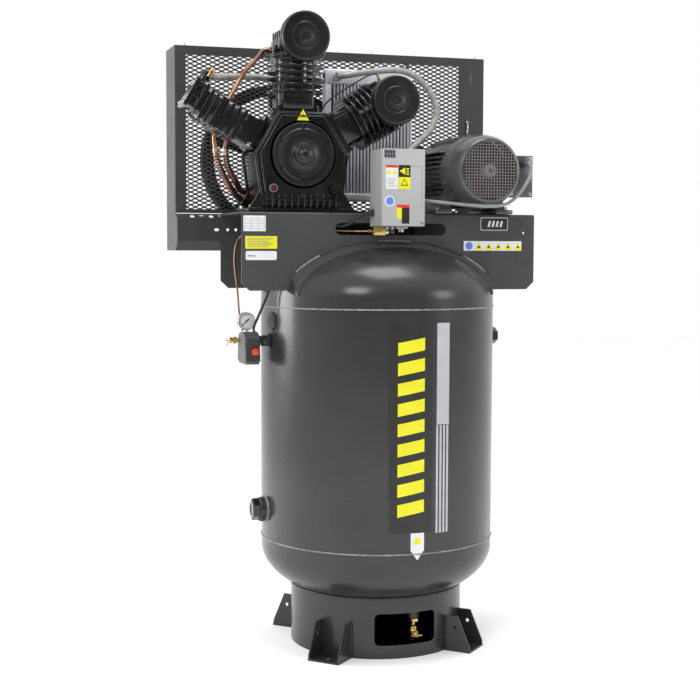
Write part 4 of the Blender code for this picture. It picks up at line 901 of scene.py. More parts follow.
def build_cover():
    """The round bearing cover on the case's front."""
    face = CASE_FRONT - 0.0004
    profile = [(0, -0.1655), (0.008, -0.1655), (0.011, -0.1625), (0.019, -0.1605), (0.027, -0.1585),
        (0.0312, -0.156), (0.033, face - 0.012), (0.035, face - 0.0105), (0.064, face - 0.0075),
        (0.07, face - 0.0085), (0.073, face - 0.0125), (0.077, face - 0.013), (0.0795, face - 0.0105),
        (0.0815, face - 0.009), (0.096, face - 0.009), (0.099, face - 0.0065), (0.0995, face),
        (0.077, face), (0.077, -0.1118), (0.0364, -0.1118), (0.0364, -0.1315), (0.026, -0.1315),
        (0.026, -0.136), (0, -0.136)]
    rims = [[Vector((CRANK_X + radius * cos(a), y, CRANK_Z + radius * sin(a))) for a in turns(128)]
        for radius, y in ((0.069, face - 0.0085), (0.0975, face - 0.0072), (0.029, -0.1575))]
    shape = together(turned(profile, 128, "Y", CRANK), *[swept(rim, 0.0016, 8) for rim in rims])
    piece("cover", shape, "filter_black", stands_for="bearing_cover")
    bolts = []
    for k in range(6):
        angle = radians(30 + 60 * k)
        centre = (CRANK_X + 0.0885 * cos(angle), face - 0.0088, CRANK_Z + 0.0885 * sin(angle))
        bolts.append(hex_bolt(0.0058, 0.0055, "Y", centre, -1))
    piece("cover_bolts", together(*bolts), "black_gloss", angle=25)


def rounded_fin(core, edge, level, thick):
    """One cooling fin of a barrel's profile, with a rounded rim."""
    return [(core, level), (edge - 0.001, level - 0.0002), (edge, level + 0.001),
        (edge, level + thick - 0.001), (edge - 0.001, level + thick + 0.0002), (core, level + thick)]


def corner_nuts(half_x, half_y, level, size=0.007, height=0.008):
    """Four nuts at the corners of a rectangle."""
    return [hex_bolt(size, height, "Z", (x, y, level)) for x in (-half_x, half_x)
        for y in (-half_y, half_y)]


def bored(shape, radius):
    """The shape with its cylinder's bore through it, up to the underside of the head."""
    return cut(shape, rod(radius, 0.1, SMALL_BARREL_TOP, segments=64))


def build_low_pressures():
    build_low_pressure("center")
    build_low_pressure("right")


def build_low_pressure(bank):
    """A round finned barrel above a blocky base, its head, and the bolts that hold them."""
    profile = [(0.045, FACE - 0.0118), (0.0508, FACE - 0.0118), (0.0508, FACE + 0.008),
        (0.06, FACE + 0.008)]
    for k in range(6):
        profile += rounded_fin(0.06, FIN_RADIUS - 0.0004, 0.1985 + 0.0198 * k, 0.0042)
    profile += [(0.06, BARREL_TOP - 0.0002), (0.045, BARREL_TOP - 0.0002)]
    flange = bored(prism(rounded((-0.0698, 0.0698), (-0.0578, 0.0578), 0.01), FACE + 0.0006,
        FACE + 0.014), 0.046)
    pads = [bored(soft_box((-0.056, 0.0425), (-depth, depth), levels, 0.0025), 0.05)
        for depth, levels in ((0.0676, (FACE + 0.01, 0.1975)), (0.064, (0.195, 0.229)),
        (0.0676, (0.204, 0.213)), (0.0676, (0.219, 0.229)))]
    column = bored(soft_box((-0.0566, -0.043), (-0.0678, 0.0678), (FACE + 0.01, 0.23), 0.0025), 0.05)
    shape = together(turned(profile, 96, ring=True), flange, *pads, column)
    piece(f"barrel_{bank}", leaned(shape, bank), "black_gloss", stands_for=f"cylinder_{bank}", edge=0.001)
    low = BARREL_TOP + 0.0004
    plate = turned([(0, low), (0.0895, low), (0.0895, low + 0.006), (0.087, low + 0.012),
        (0, low + 0.012)], 96)
    ears = [soft_box(about(side * 0.072, 0.013), about(y, 0.013), (low + 0.002, low + 0.024), 0.004)
        for side in (-1, 1) for y in (-0.043, 0.043)]
    crown = soft_box((-0.0635, 0.0635), (-0.0575, 0.0575), (low + 0.008, 0.364), 0.004, 3)
    fins = [soft_box((-0.06, 0.06), about(y, 0.0055), (0.356, HEAD_TOP - 0.0002), 0.0022)
        for y in (-0.048, -0.024, 0.0, 0.024, 0.048)]
    ridges = [soft_box(about(side * 0.0632, 0.0016), about(y, 0.0035), (0.326, 0.362), 0.0012)
        for side in (-1, 1) for y in (-0.03, -0.015, 0.0, 0.015, 0.03)]
    piece(f"head_{bank}", leaned(together(plate, *ears, crown, *fins, *ridges), bank), "black_gloss",
        stands_for=f"cylinder_head_{bank}")
    bolts = corner_nuts(0.06, 0.048, FACE + 0.0138) + corner_nuts(0.074, 0.043, low + 0.0242, 0.0075,
        0.012)
    piece(f"bolts_{bank}", leaned(together(*bolts), bank), "black_gloss", angle=25)


def square_plates(levels, aside, corner):
    """Bored square plates, each given by its level, thickness and half width."""
    return [bored(prism(rounded(about(aside, half), (-half, half), corner), level, level + thick), 0.034)
        for level, thick, half in levels]


def build_high_pressure():
    """The small cylinder: a stack of square plates on a round barrel; its blocky head is built in
    build_high_pressure_head.
    """
    core = [(0.03, FACE - 0.0118), (0.0358, FACE - 0.0118), (0.0358, FACE + 0.008),
        (0.0378, FACE + 0.008), (0.0378, SMALL_BARREL_TOP - 0.0002), (0.03, SMALL_BARREL_TOP - 0.0002)]
    seat = square_plates([(FACE + 0.0006, 0.0135, 0.0578)], 0, 0.007)
    plates = square_plates([(0.2, 0.0108, 0.0528), (0.2225, 0.0108, 0.0528), (0.245, 0.0108, 0.0528),
        (0.2675, 0.0122, 0.0528)], SMALL_ASIDE, 0.005)
    waist = square_plates([(0.158, 0.034, 0.0458)], -0.008, 0.005)
    skirt = bored(prism([(-0.052, 0.16), (0.036, 0.16), (0.056, FACE + 0.008), (-0.057, FACE + 0.008)],
        -0.046, 0.046, "Y"), 0.034)
    filler = bored(soft_box((-0.06, 0.024), (-0.0508, 0.0508), (0.198, 0.2792), 0.002), 0.034)
    shape = together(turned(core, 64, ring=True), *seat, *plates, *waist, skirt, filler)
    piece("barrel_left", leaned(shape, "left"), "black_gloss", stands_for="cylinder_left", edge=0.0012)


def build_high_pressure_head():
    """The small cylinder's head, its studs, and the elbow on its outlet."""
    low = SMALL_BARREL_TOP + 0.0006
    block = prism(rounded((-0.0438, 0.0438), (-0.0438, 0.0438), 0.006), low, 0.386)
    recesses = [box(about(x, 0.0125), (-0.06, -0.0385), (0.3565, 0.375)) for x in (-0.02, 0.02)]
    lower = square_plates([(low, 0.0108, 0.0528), (0.303, 0.009, 0.0528), (0.321, 0.012, 0.0528)],
        SMALL_ASIDE, 0.005)
    upper = square_plates([(0.343, 0.01, 0.0498), (0.378, 0.0118, 0.0498)], 0, 0.005)
    filler = soft_box((-0.06, 0.024), (-0.0508, 0.0508), (low, 0.3325), 0.002)
    shape = together(cut(block, together(*recesses)), *lower, *upper, filler)
    piece("head_left", leaned(shape, "left"), "black_gloss", stands_for="cylinder_head_left", edge=0.0012)
    studs = corner_nuts(0.048, 0.048, FACE + 0.0142)
    spots = [(x, y) for x in about(SMALL_ASIDE, 0.045) for y in (-0.045, 0.045)]
    studs += [hex_bolt(0.0062, 0.008, "Z", (x, y, 0.3332)) for x, y in spots]
    studs += [hex_bolt(0.0055, 0.005, "Z", (x, y, 0.3899)) for x in (-0.036, 0.036)
        for y in (-0.036, 0, 0.036)]
    posts = [rod(0.0035, 0.205, 0.336, "Z", (x, y, 0), 16) for x, y in spots]
    piece("bolts_left", leaned(together(*studs, *posts), "left"), "steel", angle=25)
    nut = turned([(0, 0.35), (0.0225, 0.35), (0.0235, 0.3515), (0.0235, 0.3625), (0.0225, 0.364),
        (0, 0.364)], 6, "Z", (0.0845, 0, 0))
    piece("outlet_nut", leaned(nut, "left"), "brass", edge=0.0008)
    elbow = [Vector(point) for point in ((0.044, 0, 0.37), (0.06, 0, 0.37), (0.074, 0, 0.3695),
        (0.083, 0, 0.3665), (0.0845, 0, 0.36))]
    piece("outlet_elbow", leaned(swept(elbow, 0.013, 24), "left"), "black_gloss")


def build_filters():
    """Round intake filters standing on edge; each face has a shallow dish with rings."""
    for bank, aside, lift in (("center", 0.002, 0.361), ("right", -0.004, 0.335)):
        profile = [(0, -0.0952), (0.0725, -0.0952), (0.0768, -0.0975), (0.0773, -0.1), (0.0773, -0.127),
            (0.0755, -0.131), (0.0722, -0.1328), (0.07, -0.1328), (0.068, -0.1305), (0.045, -0.1305),
            (0.0425, -0.1325), (0.0395, -0.1325), (0.0372, -0.1302), (0.019, -0.1302), (0.0175, -0.1312),
            (0.015, -0.1312), (0.0135, -0.13), (0.0035, -0.13), (0.002, -0.1315), (0, -0.1316)]
        drum = turned(profile, 96, "Y", (aside, 0, lift))
        neck = rod(0.0158, -0.1, -0.0586, "Y", (0, 0, 0.345), 40)
        slits = [swung(box((0.0765, 0.0779), (-0.122, -0.105), (-0.0015, 0.0015)), (aside, 0, lift),
            angle) for angle in turns(48)]
        piece(f"filter_{bank}", leaned(together(drum, neck, *slits), bank), "filter_black",
            stands_for=f"air_filter_{bank}")


def build_oil_fittings():
    """The oil sight glass, the filler cap and the drain screw."""
    y = CASE_FRONT - 0.0004
    centre = (CRANK_X - 0.096, 0, CRANK_Z - 0.106)
    rim = turned([(0.01, y), (0.0136, y), (0.0136, y - 0.006), (0.0126, y - 0.0078), (0.0108, y - 0.0078),
        (0.01, y - 0.006)], 48, "Y", centre, True)
    piece("sight_rim", rim, "steel")
    glass = rod(0.0104, y - 0.0045, y, "Y", centre, 40, 0.001)
    piece("sight_glass", glass, "fan_red", stands_for="oil_sight_glass")
    cap_centre = (CRANK_X + 0.1, 0, CRANK_Z - 0.108)
    cap = [(0, y), (0.0112, y), (0.0112, y - 0.018), (0.0158, y - 0.019), (0.016, y - 0.032),
        (0.014, y - 0.0355), (0, y - 0.0357)]
    grips = [swung(box((0.015, 0.0162), (y - 0.031, y - 0.02), (-0.0012, 0.0012)), cap_centre, angle)
        for angle in turns(14)]
    piece("oil_cap", together(turned(cap, 48, "Y", cap_centre), *grips), "black_gloss",
        stands_for="oil_filler_cap")
    piece("drain_screw", hex_bolt(0.0085, 0.007, "Y", (CRANK_X + 0.002, y + 0.0006, CRANK_Z - 0.128), -1),
        "black_gloss", angle=25)


# ---------------------------------------------------------------- drive
def wheel_rim(rim, groove, half_width, inner):
    """The section of a grooved wheel's rim."""
    side = 0.0177
    return [(inner, DRIVE_Y - half_width), (rim - 0.002, DRIVE_Y - half_width),
        (rim, DRIVE_Y - half_width + 0.002), (rim, DRIVE_Y - side - 0.001),
        (groove, DRIVE_Y - side + 0.001), (groove, DRIVE_Y + side - 0.001), (rim, DRIVE_Y + side + 0.001),
        (rim, DRIVE_Y + half_width - 0.002), (rim - 0.002, DRIVE_Y + half_width),
        (inner, DRIVE_Y + half_width)]


def build_flywheel():
    """The large wheel with five spokes, and the nut that holds it."""
    rim = turned(wheel_rim(FLYWHEEL_RADIUS - 0.0003, 0.24, 0.0258, 0.2125), 160, "Y", CRANK, True)
    spokes = []
    for angle in turns(5):
        outline = [(-0.015, 0.025), (0.015, 0.025), (0.0125, 0.12), (0.0215, 0.216), (-0.0215, 0.216),
            (-0.0125, 0.12)]
        spoke = prism(outline, DRIVE_Y - 0.0098, DRIVE_Y + 0.0098, "Y")
        spokes.append(swung(spoke, CRANK, angle))
    hub = turned([(0.0224, 0.1932), (0.042, 0.1932), (0.0448, 0.196), (0.0448, 0.247), (0.042, 0.2498),
        (0.0224, 0.2498)], 64, "Y", CRANK, True)
    piece("flywheel_casting", together(rim, *spokes, hub), "black_gloss", "crank", "flywheel",
        edge=0.0012)
    nut = hex_bolt(0.018, 0.01, "Y", (CRANK_X, 0.2505, CRANK_Z))
    piece("flywheel_nut", nut, "steel", "crank", angle=25)


def belt_outline(large, small):
    """A loop round two circles at the drive's wheels: two arcs joined by the outer tangents."""
    dx, dz = MOTOR_X - CRANK_X, MOTOR_Z - CRANK_Z
    tilt = degrees(atan2(dz, dx))
    touch = degrees(acos((large - small) / hypot(dx, dz)))
    return (arc((CRANK_X, CRANK_Z), large, tilt + touch, tilt + 360 - touch, 96) + arc((MOTOR_X, MOTOR_Z),
        small, tilt - touch, tilt + touch, 36))


def build_belt():
    """Two V belts side by side, their backs level with the wheels' rims."""
    belts = []
    for low, high in ((DRIVE_Y - 0.0163, DRIVE_Y - 0.0006), (DRIVE_Y + 0.0006, DRIVE_Y + 0.0163)):
        outer = prism(belt_outline(0.2504, 0.0844), low, high, "Y")
        belts.append(cut(outer, prism(belt_outline(0.2408, 0.0748), low - 0.01, high + 0.01, "Y")))
    piece("belts", together(*belts), "rubber", stands_for="drive_belt", edge=0.001)
    pulley = turned(wheel_rim(PULLEY_RADIUS - 0.0003, 0.074, 0.0238, 0.0196), 96, "Y", MOTOR, True)
    piece("pulley", pulley, "cast_iron", "motor_spinning", "motor_pulley", edge=0.0006)


# ---------------------------------------------------------------- motor
def build_motor():
    """The finned motor frame on its two feet."""
    shell = [(0.021, -0.1658), (0.104, -0.1658), (0.11, -0.1635), (0.1128, -0.157), (0.1128, 0.09),
        (0.108, 0.103), (0.098, 0.1175), (0.06, 0.1225), (0.048, 0.1258), (0.021, 0.1258), (0.021, 0.112),
        (0.09, 0.104), (0.103, 0.085), (0.103, -0.15), (0.021, -0.154)]
    shapes = [turned(shell, 96, "Y", MOTOR, True)]
    for k in range(9):
        height = -0.064 + 0.016 * k
        for side in (-1, 1):
            inner, outer = sqrt(0.108 ** 2 - height ** 2), sqrt(0.1337 ** 2 - height ** 2)
            x = sorted((MOTOR_X + side * inner, MOTOR_X + side * outer))
            shapes.append(soft_box(x, (-0.15, 0.08), about(MOTOR_Z + height, 0.0018), 0.0012, 1))
    for k in range(9):
        offset = -0.06 + 0.015 * k
        reach = sqrt(0.1225 ** 2 - offset ** 2)
        shapes.append(soft_box(about(MOTOR_X + offset, 0.0017), (-0.145, 0.075),
            (MOTOR_Z + 0.09, MOTOR_Z + min(reach, 0.1222)), 0.001, 1))
    for side in (-1, 1):
        x = sorted((MOTOR_X + side * 0.076, MOTOR_X + side * 0.1348))
        shapes.append(soft_box(x, (-0.1718, 0.0658), (PLATFORM_TOP + 0.0006, PLATFORM_TOP + 0.0148),
            0.003))
        leg = [(MOTOR_X + side * 0.082, PLATFORM_TOP + 0.01),
            (MOTOR_X + side * 0.118, PLATFORM_TOP + 0.01), (MOTOR_X + side * 0.098, MOTOR_Z - 0.055),
            (MOTOR_X + side * 0.068, MOTOR_Z - 0.086)]
        shapes.append(prism(leg, -0.15, 0.046, "Y"))
    piece("motor_body", together(*shapes), "motor_paint", stands_for="motor_frame", edge=0.0008)
    feet = [hex_bolt(0.0085, 0.01, "Z", (MOTOR_X + side * 0.118, y, PLATFORM_TOP + 0.0152))
        for side in (-1, 1) for y in (-0.142, 0.036)]
    piece("motor_foot_bolts", together(*feet), "steel", angle=25)


def build_motor_cowl():
    """The fan's cover, with a wire grille at its end."""
    cowl = [(0.1165, -0.1668), (0.1178, -0.1668), (0.1179, -0.205), (0.1172, -0.225), (0.1154, -0.243),
        (0.1125, -0.26), (0.1085, -0.275), (0.1035, -0.288), (0.099, -0.296), (0.096, -0.2978),
        (0.092, -0.2978), (0.092, -0.2958), (0.0955, -0.2958), (0.102, -0.287), (0.1068, -0.2745),
        (0.1108, -0.2595), (0.1138, -0.2425), (0.1156, -0.2245), (0.1163, -0.205)]
    piece("motor_cowl", turned(cowl, 128, "Y", MOTOR, True), "motor_paint", stands_for="motor_fan_cover")
    pitch, bar, reach = 0.0095, 0.0014, 0.0935
    bars = []
    for k in range(-9, 10):
        offset = pitch * (k + 0.5)
        if abs(offset) < reach:
            chord = sqrt(reach ** 2 - offset ** 2)
            bars.append(box(about(MOTOR_X + offset, bar), (-0.2974, -0.296), about(MOTOR_Z, chord)))
            bars.append(box(about(MOTOR_X, chord), (-0.2975, -0.2961), about(MOTOR_Z + offset, bar)))
    disc = rod(0.0205, -0.2977, -0.296, "Y", MOTOR, 48)
    piece("motor_grille", together(*bars, disc), "grille")
    cross = [box(about(MOTOR_X, 0.006), (-0.2984, -0.297), about(MOTOR_Z, 0.0013)),
        box(about(MOTOR_X, 0.0013), (-0.2984, -0.297), about(MOTOR_Z, 0.006))]
    piece("motor_grille_screw", together(*cross), "black_plastic")
    painted_shade_lining = rod(0.115, -0.17, -0.169, "Y", MOTOR, 48)
    piece("motor_shadow", cut(painted_shade_lining, rod(0.0205, -0.18, -0.16, "Y", MOTOR, 32)), "black_plastic")


def build_rotor():
    """The fan behind the grille."""
    blades = []
    for angle in turns(9):
        blade = box((0.03, 0.0905), (-0.2515, -0.2125), (-0.0016, 0.0016))
        blades.append(swung(blade, MOTOR, angle))
    hub = turned([(0.0194, -0.2496), (0.03, -0.2496), (0.034, -0.246), (0.036, -0.216), (0.0194, -0.216)],
        48, "Y", MOTOR, True)
    web = turned([(0.03, -0.2165), (0.088, -0.215), (0.088, -0.2125), (0.03, -0.2135)], 64, "Y", MOTOR,
        True)
    piece("fan_wheel", together(*blades, hub, web), "fan_red", "motor_spinning", "motor_fan")


def build_terminal_box():
    """The motor's terminal box, with its lid bolts and cable gland."""
    (x0, x1), (y0, y1), (z0, z1) = (0.408, 0.4966), (-0.1296, 0.0196), (1.4624, 1.5986)
    lid = soft_box((x0 + 0.004, x1), (y0, y0 + 0.03), (z0, z1), 0.004, 3)
    back = soft_box((x0, x1 - 0.003), (y0 + 0.031, y1), (z0 + 0.003, z1 - 0.003), 0.004, 3)
    piece("terminal_box", together(lid, back), "motor_paint", stands_for="motor_terminal_box")
    bolts = [hex_bolt(0.0052, 0.004, "Y", (bx, y0 + 0.0005, bz), -1) for bx in (x0 + 0.013, x1 - 0.01)
        for bz in (z0 + 0.011, z1 - 0.011)]
    piece("terminal_bolts", together(*bolts), "steel", angle=25)
    gland = turned([(0, -0.1286), (0.015, -0.1286), (0.015, -0.135), (0.0125, -0.136), (0.0125, -0.147),
        (0.0085, -0.1496), (0, -0.1496)], 8, "Y", (0.462, 0, 1.572))
    piece("terminal_gland", gland, "black_plastic", edge=0.0004)


# ---------------------------------------------------------------- belt guard
def expanded_metal(x, z, cell_width, cell_height, opening, y):
    """Expanded mesh: staggered six-sided openings whose strands lean forward along their lower edge."""
    shape = bmesh.new()
    columns = round((x[1] - x[0]) / (cell_width / 2))
    rows = round((z[1] - z[0]) / cell_height)
    half_w, half_h = (x[1] - x[0]) / columns, (z[1] - z[0]) / rows / 2
    lean, overhang = 0.0009, 0.004
    a, b = opening[0] / 2, opening[1] / 2
    ring = [(-half_w, 0, 0), (0, -half_h, 0), (half_w, 0, 0), (0, half_h, 0), (-a, 0, 0),
        (-a * 0.32, -b, -lean), (a * 0.32, -b, -lean), (a, 0, 0), (a * 0.32, b, lean),
        (-a * 0.32, b, lean)]
    for column in range(columns + 1):
        for row in range(rows + 1):
            cx = x[0] + half_w * column
            cz = z[0] + 2 * half_h * (row + (0.5 if column % 2 else 0.0))
            if cz > z[1] + half_h * 0.6:
                continue
            corners = []
            for dx, dz, dy in ring:
                place = (min(max(cx + dx, x[0] - overhang), x[1] + overhang), y + dy, cz + dz)
                corners.append(shape.verts.new(place))
            for face in ((0, 1, 5, 4), (1, 6, 5), (1, 2, 7, 6), (2, 3, 8, 7), (3, 9, 8), (3, 0, 4, 9)):
                shape.faces.new([corners[k] for k in face])
    bmesh.ops.remove_doubles(shape, verts=shape.verts, dist=1e-5)
    return outward(shape)


def guard_outline(inset):
    """The tray's section, drawn in by an inset."""
    back, top, low = GUARD_REAR - inset, GUARD_TOP - inset, GUARD_LOW + inset
    front = TROUGH_FRONT + inset
    return [(back, low), (back, top), (PANEL_BACK + 0.0004, top),
        (PANEL_BACK + 0.0004, PANEL_LOW - inset), (0.185 + inset / 2, PANEL_LOW - inset),
        (front, 1.388 - inset / 2), (front, 1.315 + inset / 2), (0.185 + inset / 2, low)]


def build_guard():
    """The guard's tray: a folded sheet with slots, open at the rear."""
    sheet = 0.0025
    tray = prism(guard_outline(0), GUARD_LEFT, GUARD_RIGHT, "X")
    mouth = box((GUARD_LEFT + sheet, GUARD_RIGHT - sheet), (0.17, 0.2),
        (PANEL_LOW + 0.001, GUARD_TOP - sheet))
    rear = box((GUARD_LEFT + 0.01, GUARD_RIGHT - 0.01), (0.3, 0.36),
        (GUARD_LOW + 0.024, GUARD_TOP - 0.006))
    slots = [prism(stadium((-0.59 + 0.0315 * k, -0.574 + 0.0315 * k), (1.392 + 0.005 * (k % 2), 1.399),
        3), 0.14, 0.2, "Y") for k in range(31)]
    shape = cut(tray, prism(guard_outline(sheet), GUARD_LEFT + sheet, GUARD_RIGHT - sheet, "X"), mouth,
        rear, tank_solid(0.015, 14, 96), together(*slots))
    holes = [rod(0.005, 0.14, 0.17, "Y", (hole_x, 0, 1.3525)) for hole_x in (-0.4678, -0.4405)]
    holes.append(prism(stadium((-0.512, -0.496), (1.348, 1.357), 6), 0.14, 0.17, "Y"))
    piece("guard_shell", cut(shape, together(*holes)), "guard_paint", stands_for="guard_tray", edge=0.001)


def build_guard_mesh():
    """The guard's front: a frame with expanded metal, and what is fixed to it."""
    x, z = (-0.598, 0.356), (1.42, 1.92)
    border = box((GUARD_LEFT, GUARD_RIGHT), (PANEL_FRONT, PANEL_FRONT + 0.0018),
        (PANEL_LOW + 0.002, GUARD_TOP))
    opening = box(x, (0.1, 0.3), z)
    holes = [rod(0.0045, 0.1, 0.3, "Y", (0.402, 0, 1.905)), prism(rounded((0.3975, 0.4065),
        (1.868, 1.896), 0.002), 0.1, 0.3, "Y")]
    frame_sheet = cut(border, opening, together(*holes))
    piece("guard_border", frame_sheet, "guard_paint", edge=0.0004)
    mesh = expanded_metal(x, z, 0.03, 0.0138, (0.0185, 0.0068), PANEL_FRONT + 0.0016)
    for vert in list(mesh.verts):
        near_crank = hypot(vert.co.x - CRANK_X, vert.co.z - CRANK_Z) < 0.056
        near_motor = hypot(vert.co.x - MOTOR_X, vert.co.z - MOTOR_Z) < 0.04
        if near_crank or near_motor:
            mesh.verts.remove(vert)
    grid = piece("guard_mesh", mesh, "guard_paint", stands_for="guard_mesh_panel", angle=50)
    thick = grid.modifiers.new("thickness", "SOLIDIFY")
    thick.thickness = 0.0012
    thick.offset = 0
    studs = [rod(0.0022, GUARD_TOP - 0.001, GUARD_TOP + 0.007, "Z", (sx, 0.195, 0), 16)
        for sx in (-0.6, 0.045, 0.42)]
    latch = [soft_box((0.386, 0.392), (PANEL_FRONT - 0.006, PANEL_FRONT + 0.001), (1.69, 1.735), 0.0015),
        rod(0.006, PANEL_FRONT - 0.008, PANEL_FRONT, "Y", (0.389, 0, 1.728), 24, 0.001),
        rod(0.006, PANEL_FRONT - 0.008, PANEL_FRONT, "Y", (0.389, 0, 1.694), 24, 0.001)]
    piece("guard_studs", together(*studs, *latch), "steel")
    stay = box((COOLER_X[1] + 0.001, COOLER_X[1] + 0.006), (0.16, PANEL_FRONT - 0.0004),
        (COOLER_Z[0], GUARD_TOP - 0.026))
    piece("guard_stay", stay, "guard_paint", edge=0.0004)


# ---------------------------------------------------------------- air and electrics
def build_cooler():
    """A bar-and-fin cooler: two headers, vertical tubes, and fins between them painted near black as the
    shade between the tubes.
    """
    (x0, x1), (y0, y1), (z0, z1) = COOLER_X, COOLER_Y, COOLER_Z
    top = soft_box(COOLER_X, COOLER_Y, (z1 - 0.05, z1), 0.005, 3)
    foot = soft_box(COOLER_X, COOLER_Y, (z0, z0 + 0.026), 0.004, 3)
    left = soft_box((x0, x0 + 0.02), (y0 + 0.002, y1), (z0 + 0.01, z1 - 0.01), 0.002)
    right = soft_box((x1 - 0.008, x1), (y0 + 0.002, y1), (z0 + 0.01, z1 - 0.01), 0.002)
    bars = [soft_box((x, x + 0.0056), (y0 + 0.003, y1 - 0.004), (z0 + 0.02, z1 - 0.045), 0.0012, 1)
        for x in [x0 + 0.0285 + 0.0118 * k for k in range(23)]]
    brackets = [box((x, x + 0.024), (y1 - 0.004, PANEL_FRONT - 0.0006), (z, z + 0.0038))
        for x in (x0 + 0.002, x1 - 0.026) for z in (1.4701, 1.8601)]
    piece("cooler", together(top, foot, left, right, *bars, *brackets), "aluminium",
        stands_for="aftercooler")
    # The fins are painted near black as painted shade between the bars.
    fins = [box((x0 + 0.012, x1 - 0.006), (y0 + 0.014, y1 - 0.008), (z, z + 0.0022))
        for z in [z0 + 0.022 + 0.0052 * k for k in range(70)]]
    piece("cooler_fins", together(*fins), "fin_painted_shade")


def build_discharge_line():
    """The braided line from the cooler down to the tank's inlet."""
    discharge = [(-0.11, COOLER_Y[0] - 0.001, 1.857), (-0.11, 0.094, 1.857), (-0.092, 0.078, 1.86),
        (0.0, 0.074, 1.876), (0.09, 0.072, 1.884), (0.15, 0.068, 1.868), (0.2, 0.06, 1.82),
        (0.224, 0.05, 1.757), (0.198, 0.036, 1.69), (0.134, 0.012, 1.632), (0.066, -0.02, 1.57),
        (0.035, -0.038, 1.5), (0.03, -0.04, 1.43), (0.03, -0.04, 1.35)]
    piece("discharge_line", pipe(discharge, 0.0106, 24, 10), "braid", stands_for="discharge_pipe")
    cone = turned([(0, 0.08), (0.015, 0.08), (0.0158, 0.082), (0.0158, 0.099), (0.015, 0.101),
        (0, 0.101)], 6, "Y", (-0.11, 0, 1.857))
    check = [turned([(0, 1.3386), (0.0158, 1.3386), (0.0165, 1.341), (0.0165, 1.352), (0.015, 1.354),
        (0, 1.354)], 6, "Z", (*INLET, 0)), rod(0.0135, 1.352, 1.3758, "Z", (*INLET, 0), 32, 0.001)]
    piece("discharge_fittings", together(cone, *check), "steel", edge=0.0004)


def build_outlet_hose():
    """The corrugated hose from the small cylinder's head to the cooler."""
    hose = [bank_point("left", 0.356, 0.0845, -0.004), bank_point("left", 0.338, 0.089, 0.002),
        (-0.505, 0.02, 1.833), (-0.46, 0.042, 1.838), (-0.41, 0.064, 1.842), (-0.34, 0.092, 1.842),
        (-0.25, 0.116, 1.842), (-0.19, 0.128, 1.846), (COOLER_X[0] - 0.001, 0.128, 1.846)]
    piece("outlet_hose", ribbed(hose, 0.0106, 0.0116, 0.0062), "braid", stands_for="outlet_pipe")


def build_interstage_line():
    """The copper line between two heads, with its nut."""
    copper = [(CRANK_X - 0.0646, -0.02, 1.92), (-0.366, -0.02, 1.92), (-0.39, -0.02, 1.914),
        (-0.408, -0.022, 1.892), (-0.438, -0.024, 1.862), bank_point("left", 0.27, 0.12, -0.026),
        bank_point("left", 0.27, 0.056, -0.026), bank_point("left", 0.27, 0.0417, -0.026)]
    piece("interstage_line", pipe(copper, 0.0077, 24, 10), "copper", stands_for="interstage_pipe")
    nut = turned([(0, -0.007), (0.0112, -0.007), (0.0117, -0.006), (0.0117, 0.006), (0.0112, 0.007),
        (0, 0.007)], 6, "X", (CRANK_X - 0.0725, -0.02, 1.92))
    piece("interstage_nut", nut, "brass", edge=0.0004)


def build_intercooler():
    """Two copper tubes, plain at the top and wound with fins where they curve round the case; between the
    fins the core is painted dark brown as shade.
    """
    first = [bank_point("left", 0.2505, -0.0656, -0.014), bank_point("left", 0.2505, -0.076, -0.014),
        (-0.545, -0.014, 1.62), (-0.536, -0.012, 1.5695), (-0.518, 0.002, 1.529), (-0.49, 0.022, 1.49),
        (-0.45, 0.058, 1.452), (-0.404, 0.092, 1.44), (-0.34, 0.108, 1.434), (-0.26, 0.108, 1.434)]
    second = [bank_point("left", 0.2055, -0.0656, -0.006), bank_point("left", 0.2055, -0.076, -0.006),
        (-0.5105, -0.004, 1.598), (-0.501, 0.006, 1.557), (-0.487, 0.016, 1.531), (-0.464, 0.034, 1.5),
        (-0.444, 0.064, 1.478), (-0.404, 0.092, 1.467), (-0.33, 0.108, 1.462), (-0.26, 0.108, 1.462)]
    plain, cores, rings, nuts = [], [], [], []
    for route in (first, second):
        path = smooth_path(route, 12)
        plain.append(swept([point for point in path if point.z > 1.585], 0.0074, 16))
        finned = evenly([point for point in path if point.z < 1.6], 0.0043)
        cores.append(swept(finned, 0.0066, 14))
        rings += [swept(pair, 0.0104, 16) for pair in zip(finned[::2], finned[1::2])]
        nuts.append(swept([point for point in path if 1.588 <= point.z <= 1.606], 0.0092, 6))
    header = soft_box((-0.2515, -0.2265), (CASE_REAR + 0.0006, 0.1215), (1.4225, 1.4755), 0.002)
    piece("cooling_tubes", together(*plain, *rings, header), "copper", stands_for="intercooler_tubes")
    # The cores between the fin rings are painted dark brown as shade.
    piece("cooling_tube_cores", together(*cores), "tube_core_painted_shade")
    piece("cooling_tube_nuts", together(*nuts), "steel")


def build_unloader_line():
    """The thin line that joins two of the cylinder heads."""
    rise = [(0.0706, 0.1405), (0.076, 0.1405), (0.0865, 0.15), (0.0945, 0.1635)]
    over = [(0.19, -0.103), (0.24, -0.107), (0.29, -0.108), (0.335, -0.107), (0.36, -0.099),
        (0.362, -0.084), (0.362, -0.0646)]
    route = ([bank_point("center", up, across, -0.055) for across, up in rise]
        + [bank_point("right", up, across, -0.066) for up, across in over])
    piece("unloader_line", pipe(route, 0.0027, 12), "black_plastic", stands_for="unloader_tube")
    elbow = [bank_point("right", 0.362, across, -0.066) for across in (-0.0646, -0.076, -0.088)]
    piece("unloader_elbow", swept([Vector(point) for point in elbow], 0.0055, 6), "brass", edge=0.0004)


